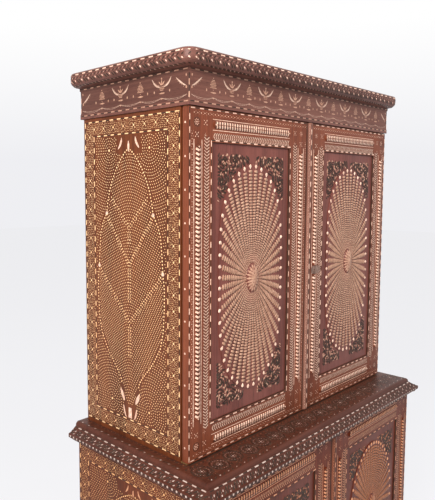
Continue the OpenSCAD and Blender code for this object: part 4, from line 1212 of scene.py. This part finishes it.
def base_moulding_inlay(settings):
    """Dashes and rows of leaning leaves on the moulding under the base's top board."""
    lo, hi = box_mm("base_moulding")
    high, wide = hi[2] - lo[2], box_mm("base_front_rail")[0][1] - lo[1]
    bottom, top = 0.42 * high, 0.64 * high
    low = [(2 + (bottom - 3) * t ** 1.35, 6 + t * (wide - 8) - wide) for t in np.linspace(0.06, 0.94, 9)]
    nose = [(bottom + 1, 0.0), (top - 1, 0.0)]
    up = [(high - (high - top) * t ** 0.85, 5 + t * (wide - 8) - wide) for t in np.linspace(0.96, 0.04, 9)]
    bones, dark = Tray(), Tray()
    for side, (origin, along, v0, v1) in four_runs(lo, hi, lo[2]).items():
        if side == "back":
            continue
        # The upper hollow: dashes at its head, and two rows of leaves, drawn in at the mitres
        face = Bent(origin, Z, along, up)
        for share, mitre in ((0.93, 31), (0.5, 20), (0.13, 8)):
            at = face.length * share
            start = v0 + (2 if side == "right" else mitre)
            end = v1 - (2 if side == "left" else mitre)
            if share > 0.9:
                dashes(bones, dark, face, (at, start), (at, end), settings, 3.8)
                continue
            leaning_row(bones, dark, face, at, start, end, settings.dash_pitch, 0.8, 11.0, 5.2)
            steps, _, _ = steps_along((at, start), (at, end), settings.dash_pitch / 2)
            bones.put(SEED, face, steps[:, 0] - 3, steps[:, 1], QUARTER + 0.8, 6, 2.4, 0.4)
        for section, lean, share, bead, broad in ((low, -0.8, 0.6, SEED, 5.0), (nose, 0.0, 0.5, DOT, 8.0)):
            face = Bent(origin, Z, along, section)
            at, turn = face.length * share, QUARTER + lean
            steps, _, pitch = steps_along((at, v0 + 10), (at, v1 - 10), LEAF_PAIR)
            dark.put(LEAF, face, *steps.T, turn, 15, 5.4, 0.4)
            bones.put(bead, face, steps[:, 0], steps[:, 1] + pitch / 2, turn, 9.5, broad, 0.5)
    bones.build("base_moulding_bone", "root", "moulding_bone")
    dark.build("base_moulding_ebony", "root", "ebony")


def base_top_inlay(settings):
    """Scrolls with flowers on the top of the base, in front of the upper case and beside it."""
    lo, hi = box_mm("base_top_board")
    case_left, case_right = box_mm("upper_left_side")[0][0], box_mm("upper_right_side")[1][0]
    door_y = box_mm("upper_left_hinge_stile")[0][1]
    bones, fine, dark = Tray(), Tray(), Tray()
    top = Flat((0, 0, hi[2] / 1000), X, Y)
    rng = np.random.default_rng(11)
    # Runs of the top: its long way, its ends that way, and its edges from the case outwards
    for run, a0, a1, b0, b1 in (("x", lo[0] + 12, hi[0] - 12, door_y - 6, lo[1] + 10),
                                ("y", lo[1] + 100, hi[1] - 6, case_left - 3, lo[0] + 8),
                                ("y", lo[1] + 100, hi[1] - 6, case_right + 3, hi[0] - 8)):
        way, width = math.copysign(1, b1 - b0), abs(b1 - b0)

        def place(a, b):
            p = (a, b0 + way * b)
            return p if run == "x" else p[::-1]

        def row(b, pitch):
            """Steps along the run, the same moved on by half a step, and the run's turn."""
            steps, turn, pitch = steps_along(place(a0, b), place(a1, b), pitch)
            return steps.T, (steps + headings(turn)[0] * pitch / 2).T, turn

        # A row of drops and leaves near the outer edge, and a row of leaves and seeds by the case
        steps, between, turn = row(width - 4, settings.dash_pitch)
        bones.put(DROP, top, *steps, turn + 0.5, 10.5, 4.6, 0.3)
        dark.put(LEAF, top, *between, turn + 0.5, 16, 5.4, 0.25)
        steps, between, turn = row(5, LEAF_PAIR)
        dark.put(LEAF, top, *steps, turn + 0.6, 12, 6, 0.25)
        fine.put(SEED, top, *between, turn, 6.0, 3.6, 0.25)
        if width * 0.36 < 12:
            continue
        # Flowers in rings of seeds and dark leaves, to one side of the middle and the other in turn
        n = max(1, round((a1 - a0) / settings.scroll_pitch))
        for k in range(n):
            cu, cv = place(a0 + (k + 0.5) * ((a1 - a0) / n), width * 0.47 - (-1) ** k * 3.0)
            for radius, tray, piece, long, wide in ((7.5, bones, SEED, 8.0, 3.6),
                                                    (14.5, dark, LEAF, 11.0, 5.0),
                                                    (21.5, bones, SEED, 7.5, 2.8),
                                                    (27.0, dark, LEAF, 12.0, 5.0)):
                count = max(6, int(radius * 0.78))
                t = np.arange(count) / count * FULL + 0.3 * radius
                u, v = cu + radius * np.cos(t), cv + radius * np.sin(t)
                b = ((v if run == "x" else u) - b0) * way
                keep = (b > 10) & (b < width - 9)
                tray.put(piece, top, u[keep], v[keep], t[keep] + QUARTER + 0.5, long, wide, 0.3)
            bones.put(DOT, top, cu, cv, 0, 7, 7, 0.5)
        for tray, piece, area, near, long, wide, high in ((dark, LEAF, 260, 12, 13.0, 4.4, 0.2),
                                                          (fine, SEED, 300, 10, 5.0, 2.6, 0.25)):
            count = int((a1 - a0) * width / area)
            far = width - (12 if piece is LEAF else 9)
            u, v = place(rng.uniform(a0, a1, count), rng.uniform(near, far, count))
            tray.put(piece, top, u, v, rng.uniform(0, math.pi, count), long, wide, high)
    # Painted shadow: a dark strip on the base's top under the upper doors, where the gap under them is in
    # shade
    dark.line(top, [(case_left + 2, door_y + 1), (case_right - 2, door_y + 1)], 8.0)
    bones.build("base_top_bone", "root", "moulding_bone")
    fine.build("base_top_seeds", "root", "base_band_bone")
    dark.build("base_top_ebony", "root", "ebony")


# Settings

def amount(name, description, default, **rest):
    return bpy.props.FloatProperty(name=name, description=description, default=default, **rest)


def tone(name, description, default):
    return bpy.props.FloatVectorProperty(name=name, description=description, default=default, subtype="COLOR")


class InlaySettings(bpy.types.PropertyGroup):
    """Sizes of the inlay, in millimetres"""

    relief: amount("Relief", "Height of the inlay over the wood", 0.25, min=0.05)
    dash_pitch: amount("Dash pitch", "Length of one bone and one dark dash", 33.2)
    rays: bpy.props.IntProperty(name="Rays", description="Rays in a door's sunburst", default=48, min=16)
    ray_aspect: amount("Ray crowding", "1 spaces the rays at even angles", 0.632)
    row_pitch: amount("Row pitch", "Distance between rows of seeds on the sides", 8.1)
    seed_step: amount("Seed step", "Distance between seeds in a row", 8.0)
    seed_long: amount("Seed length", "Length of the seeds on the sides", 8.4)
    seed_wide: amount("Seed width", "Width of the seeds on the sides", 6.1)
    plain_band: amount("Plain band", "Plain wood outside the sides' figure", 6.5)
    star_pitch: amount("Flower pitch", "Distance between a border's flowers", 43.0)
    scatter_pitch: amount("Scatter pitch", "Distance between a border's dots", 5.3)
    leaf_pitch: amount("Leaf pitch", "Distance between leaves in a panel's corners", 8.6)
    motif_pitch: amount("Motif pitch", "Distance between motifs of the front frieze", 75.7)
    side_motif_pitch: amount("Side motif pitch", "The same on the sides", 84.3)
    scroll_pitch: amount("Scroll pitch", "Distance between flowers on the base", 62.0)
    cap_round: amount("Cap rounding", "Radius of the cap's upper edge", 9.0)
    cap_upright: amount("Cap curve", "Share of the cap's moulding that curves", 0.85)


class FinishSettings(bpy.types.PropertyGroup):
    """Colours of the woods and the bone, as linear values"""

    # Painted shade: the base's woods and bone are darkened because less light reaches the lower stage, its
    # sides a little less, and its top and mouldings further, as light falls on them from the side rather than
    # from above
    base_shade: tone("Base tint", "How much darker the base has become", (0.72, 0.49, 0.34))
    side_shade: tone("Base side tint", "The same for the base's sides", (0.86, 0.71, 0.58))
    base_moulding_shade: amount("Dark base", "Further share for the base's mouldings", 0.72)
    moulding_share: tone("Moulding share", "Brightness of the base mouldings' bone", (0.66, 0.76, 0.86))
    band_share: amount("Band share", "Brightness of the bands' bone", 0.72)
    burst_share: tone("Burst share", "Brightness of the sunbursts' bone", (0.59, 0.49, 0.43))
    # Painted shade: the frieze's returns are a darker copy of its front wood
    return_shade: amount("Return share", "Brightness of the frieze's wood on the sides", 0.70)
    red: tone("Door wood", "Middle tone of the red-brown wood", (0.166, 0.042, 0.019))
    side: tone("Side wood", "Middle tone of the side boards", (0.125, 0.032, 0.010))
    panel: tone("Panel wood", "Middle tone of the panels", (0.155, 0.046, 0.035))
    # Painted sheen: the cover beads' wood is a lighter, greyer copy of the door wood, for the light their
    # rounded faces reflect
    bead: tone("Bead wood", "Middle tone of the cover beads", (0.225, 0.092, 0.064))
    dark: tone("Moulding wood", "Middle tone of the mouldings", (0.145, 0.056, 0.042))
    frieze: tone("Frieze wood", "Middle tone of the frieze", (0.135, 0.052, 0.038))
    inner: tone("Inner wood", "Middle tone of the unseen boards", (0.33, 0.17, 0.085))
    bone: tone("Bone", "Light tone of the bone", (0.83, 0.585, 0.46))
    bone_dark: tone("Dark bone", "Dark tone of the bone", (0.58, 0.355, 0.265))
    side_bone: tone("Side bone", "Light tone of the bone on the sides", (0.98, 0.70, 0.40))
    side_bone_dark: tone("Dark side bone", "Its dark tone", (0.80, 0.49, 0.25))


class StageSettings(bpy.types.PropertyGroup):
    """Camera, lamps and background"""

    lens: amount("Lens", "Focal length in millimetres", 41.39)
    key: amount("Key lamp", "Power of the main lamp", 278.0, unit="POWER")
    fill: amount("Fill lamp", "Power of the second lamp", 48.0, unit="POWER")
    world: amount("Surround", "Strength of the even light", 0.4)
    floor_glow: amount("Floor glow", "Share of the floor's tone that isn't shaded", 0.8)
    backdrop: tone("Backdrop", "Tone of the background", (0.86, 0.86, 0.89))


# Finishes of the woods in both stages: words, grain directions, and gloss, coat and wear
WOODS = {
    "red": ("Red-brown {} wood, grain {}", "xz", 0.45, 0.0, 0.25),
    "dark": ("Dark {} wood, grain {}", "x", 0.42, 0.05, 0.4),
    # The cover beads' lighter, greyer tone is a painted sheen
    "bead": ("Cover bead {} wood", "z", 0.4, 0.0, 0.3),
    "side": ("Side board {} wood", "z", 0.45, 0.0, 0.25),
    "panel": ("Panel {} wood", "z", 0.4, 0.05, 0.3),
}

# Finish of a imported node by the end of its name, where {} is its stage. The last takes all others
FINISHES = (
    (("_bolt", "_guides", "_plates"), "brass"),
    ("_lock", "iron"),
    (("_panel", "_sunburst"), "{}_panel_z"),
    ("_rails", "{}_red_x"),
    ("_bead", "{}_bead_z"),
    (("_stile", "_strips"), "{}_red_z"),
    (("left_side", "right_side"), "{}_side_z"),
    ("frieze_front", "frieze_x"),
    ("frieze_returns", "frieze_y"),
    (("back_boards", "dowels"), "inner_z"),
    ("shelf_cleats", "inner_y"),
    (("shelf", "shelves", "upper_bottom_board"), "inner_x"),
    ("", "{}_dark_x"),
)
MATERIALS = {}


def tinted(colour, *shares):
    """A colour multiplied by one share after another."""
    c = np.array(colour)
    for share in shares:
        c = c * share
    return tuple(c)


def shades(colour, *shares):
    """Dark, middle and light tone of a wood."""
    c = np.array(tinted(colour, *shares))
    return tuple(c * 0.5), tuple(c), tuple(np.minimum(1, c * np.array([1.38, 1.5, 1.5])))


def finish_of(name):
    """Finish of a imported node, by its name."""
    stage = "base" if name.startswith(("base", "lower", "plinth")) else "upper"
    return next(finish for ends, finish in FINISHES if name.endswith(ends)).format(stage)


# Operators

class Finishes(bpy.types.Operator):
    """Makes the woods, bone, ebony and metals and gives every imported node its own"""

    bl_idname = "cupboard.finishes"
    bl_label = "Finishes"

    def execute(self, context):
        s = context.scene.cupboard_finish
        for grain in "xyz":
            MATERIALS[f"inner_{grain}"] = wood(f"Planed inner wood, grain {grain}", shades(s.inner), grain,
                                               0.6, 0.0, 0.3)
        # The base's woods and bone take the painted shade of the lower stage, its top and mouldings more of
        # it
        for stage, tint, side_shade, dark in (("upper", 1, 1, 1),
                                             ("base", s.base_shade, s.side_shade, s.base_moulding_shade)):
            for kind, (words, grains, *feel) in WOODS.items():
                shares = {"side": (side_shade,), "dark": (tint, dark)}.get(kind, (tint,))
                tones = shades(getattr(s, kind), *shares)
                for grain in grains:
                    name = words.format(stage, grain)
                    MATERIALS[f"{stage}_{kind}_{grain}"] = wood(name, tones, grain, *feel)
            for kind, light, dim, *shares in (("bone", s.bone, s.bone_dark, tint),
                                              ("band_bone", s.bone, s.bone_dark, tint, s.band_share),
                                              ("burst_bone", s.bone, s.bone_dark, tint, s.burst_share),
                                              ("side_bone", s.side_bone, s.side_bone_dark, side_shade)):
                MATERIALS[f"{stage}_{kind}"] = bone(f"{stage} {kind}".replace("_", " "),
                                                    tinted(light, *shares), tinted(dim, *shares))
        MATERIALS["moulding_bone"] = bone("Grey moulding bone", tinted(s.bone, s.moulding_share),
                                          tinted(s.bone_dark, s.moulding_share))
        # The returns' copy of the frieze wood is darkened as painted shade on the cupboard's sides
        for grain, share in (("x", 1), ("y", s.return_shade)):
            MATERIALS[f"frieze_{grain}"] = wood(f"Frieze wood, grain {grain}", shades(s.frieze, share), grain)
        MATERIALS["ebony"] = ebony("Ebony")
        MATERIALS["brass"] = metal("Aged brass", (0.55, 0.38, 0.16), (0.2, 0.12, 0.05), 0.35)
        MATERIALS["iron"] = metal("Brown iron", (0.36, 0.23, 0.18), (0.13, 0.07, 0.05), 0.5)
        for name, node in frame["nodes"].items():
            node.data.materials.clear()
            node.data.materials.append(MATERIALS[finish_of(name)])
        return {"FINISHED"}


class SideInlay(bpy.types.Operator):
    """Sets bone seeds, flowers and dashes in the four side boards"""

    bl_idname = "cupboard.side_inlay"
    bl_label = "Side inlay"

    def execute(self, context):
        for node in ("upper_left_side", "upper_right_side", "base_left_side", "base_right_side"):
            side_inlay(node, context.scene.cupboard_inlay)
        return {"FINISHED"}


class DoorInlay(bpy.types.Operator):
    """Sets the bands, corner squares and strip chevrons of the four doors"""

    bl_idname = "cupboard.door_inlay"
    bl_label = "Door frame inlay"

    def execute(self, context):
        settings = context.scene.cupboard_inlay
        for door in map(Door, DOORS):
            bones, fine, dark = Tray(), Tray(), Tray()
            door_frame(door, bones, dark, fine, settings)
            corner_squares(door, bones, dark, settings)
            door_strips(door, bones, dark, settings)
            door_edges(door, bones, dark, fine, settings)
            bones.build(f"{door.name}_frame_bone", door.body, f"{door.tint}_bone")
            fine.build(f"{door.name}_band_bone", door.body, f"{door.tint}_band_bone")
            dark.build(f"{door.name}_frame_ebony", door.body, "ebony")
        return {"FINISHED"}


class Sunbursts(bpy.types.Operator):
    """Sets the rays, the boss and the corner foliage of the four panels"""

    bl_idname = "cupboard.sunbursts"
    bl_label = "Sunbursts and foliage"

    def execute(self, context):
        settings = context.scene.cupboard_inlay
        for door in map(Door, DOORS):
            bones, drops, dark, leaves = Tray(), Tray(), Tray(), Tray()
            sunburst(door, bones, drops, dark, settings)
            boss(door, bones, dark)
            spandrels(door, leaves, dark, settings)
            bones.build(f"{door.name}_sunburst_bone", door.body, f"{door.tint}_burst_bone")
            drops.build(f"{door.name}_drop_bone", door.body, f"{door.tint}_bone")
            leaves.build(f"{door.name}_foliage_bone", door.body, f"{door.tint}_burst_bone")
            dark.build(f"{door.name}_panel_ebony", door.body, "ebony")
        return {"FINISHED"}


class FriezeInlay(bpy.types.Operator):
    """Sets the motifs of the frieze and the dashes and drops of the cap"""

    bl_idname = "cupboard.frieze_inlay"
    bl_label = "Frieze and cap inlay"

    def execute(self, context):
        frieze_inlay(context.scene.cupboard_inlay)
        cap_inlay(context.scene.cupboard_inlay)
        return {"FINISHED"}


class BaseInlay(bpy.types.Operator):
    """Sets the leaves of the base's moulding and the scrolls of its top"""

    bl_idname = "cupboard.base_inlay"
    bl_label = "Base inlay"

    def execute(self, context):
        base_moulding_inlay(context.scene.cupboard_inlay)
        base_top_inlay(context.scene.cupboard_inlay)
        return {"FINISHED"}


def area_lamp(name, place, target, size, power, colour):
    data = bpy.data.lights.new(name, "AREA")
    data.shape, data.size, data.size_y = "RECTANGLE", *size
    data.energy, data.color = power, colour
    lamp = bpy.data.objects.new(name, data)
    lamp.location = place
    lamp.rotation_euler = (Vector(target) - Vector(place)).to_track_quat("-Z", "Y").to_euler()
    bpy.context.scene.collection.objects.link(lamp)


def surround(scene, settings):
    """An even light, behind which the seen rays meet a pale backdrop that grows white upwards."""
    scene.world = bpy.data.worlds.new("surround")
    scene.world.use_nodes = True
    nt = scene.world.node_tree
    even = nt.nodes["Background"]
    socket_values(even, Color=(1.0, 1.0, 1.0, 1), Strength=settings.world)
    seen, direction, split = (nt.nodes.new(f"ShaderNode{kind}")
                              for kind in ("Background", "TexCoord", "SeparateXYZ"))
    nt.links.new(direction.outputs["Generated"], split.inputs[0])
    rise = spread(nt, split.outputs["Z"], 0.0, 1.0, 0.05, 0.26)
    colour = ramp(nt, rise, [(0.0, tuple(settings.backdrop)), (1.0, (1.0, 1.0, 1.0))])
    nt.links.new(colour, seen.inputs["Color"])
    show_to_seen_rays(nt, 1.0, even, seen, "World Output")


def photo_camera(scene, lens):
    """The camera of the photograph's view: its place, its turn, and the shift of its frame."""
    data = bpy.data.cameras.new("camera")
    data.lens, data.sensor_width = lens, 36.0
    data.shift_x, data.shift_y = 0.0949, -0.0221
    data.clip_start, data.clip_end = 0.05, 100
    cam = bpy.data.objects.new("camera", data)
    scene.collection.objects.link(cam)
    cam.location = (-1.5994, -1.1843, 1.5783)
    yaw, pitch, roll = (math.radians(x) for x in (44.4923, 4.928, -0.042))
    d = Vector((math.sin(yaw) * math.cos(pitch), math.cos(yaw) * math.cos(pitch), -math.sin(pitch)))
    cam.rotation_mode = "QUATERNION"
    cam.rotation_quaternion = d.to_track_quat("-Z", "Y") @ Quaternion((0, 0, 1), roll)
    scene.camera = cam


class Stage(bpy.types.Operator):
    """Makes the floor, the light, the background and the camera of the photograph's view"""

    bl_idname = "cupboard.stage"
    bl_label = "Stage and camera"

    def execute(self, context):
        scene, s = context.scene, context.scene.cupboard_stage
        deselect()
        bpy.ops.mesh.primitive_plane_add(size=40)
        floor = context.object
        floor.name = "floor"
        floor.data.materials.append(pale_floor("Pale floor", (0.80, 0.79, 0.79), s.floor_glow))
        area_lamp("key_lamp", (-3.5, -1.75, 3.4), (-0.3, 0, 1.6), (2.0, 1.8), s.key, (1.0, 0.97, 0.93))
        area_lamp("fill_lamp", (-0.2, -2.7, 3.7), (0, 0, 1.9), (1.8, 1.6), s.fill, (1.0, 0.98, 0.96))
        surround(scene, s)
        photo_camera(scene, s.lens)
        scene.view_settings.view_transform = "Standard"
        return {"FINISHED"}


class CupboardPanel(bpy.types.Panel):
    """Lists the steps and their settings"""

    bl_idname = "VIEW3D_PT_cupboard"
    bl_label = "Inlaid cupboard"
    bl_space_type = "VIEW_3D"
    bl_region_type = "UI"
    bl_category = "Cupboard"

    def draw(self, context):
        for group in GROUPS:
            settings = getattr(context.scene, group)
            for key in settings.__annotations__:
                self.layout.prop(settings, key)
        for step in STEPS:
            self.layout.operator(step.bl_idname)


STEPS = (Finishes, SideInlay, DoorInlay, Sunbursts, FriezeInlay, BaseInlay, Stage)
GROUPS = {"cupboard_inlay": InlaySettings, "cupboard_finish": FinishSettings, "cupboard_stage": StageSettings}
CLASSES = (*GROUPS.values(), *STEPS, CupboardPanel)


def register():
    for c in CLASSES:
        bpy.utils.register_class(c)
    for name, group in GROUPS.items():
        setattr(bpy.types.Scene, name, bpy.props.PointerProperty(type=group))


def unregister():
    for name in GROUPS:
        delattr(bpy.types.Scene, name)
    for c in reversed(CLASSES):
        bpy.utils.unregister_class(c)


# Pieces that repeat, modelled once
SEED = cone_piece(6, 0)
DOT = cone_piece(8, 0.5)
LEAF = bar_piece((-0.32, -0.06, 0.22), (0.1, 0.78, 1.0, 0.66, 0.06))
DROP = cone_piece(8, 0.42, [(lambda c: c.x < -0.3 and c.z < 0, (0, 0, 0), (1.0, 0.45, 1.0)),
                            (lambda c: c.z > 0.5, (0.12, 0, 0), (1.0, 1.0, 1.0))], smooth=True, crown=0.25)
BAR = bar_piece()
BENT_BAR = bar_piece((-0.3, -0.1, 0.1, 0.3))
RIB = rib_piece()


def main():
    register()
    for step in STEPS:
        group, name = step.bl_idname.split(".")
        getattr(getattr(bpy.ops, group), name)()


if __name__ == "__main__":
    main()
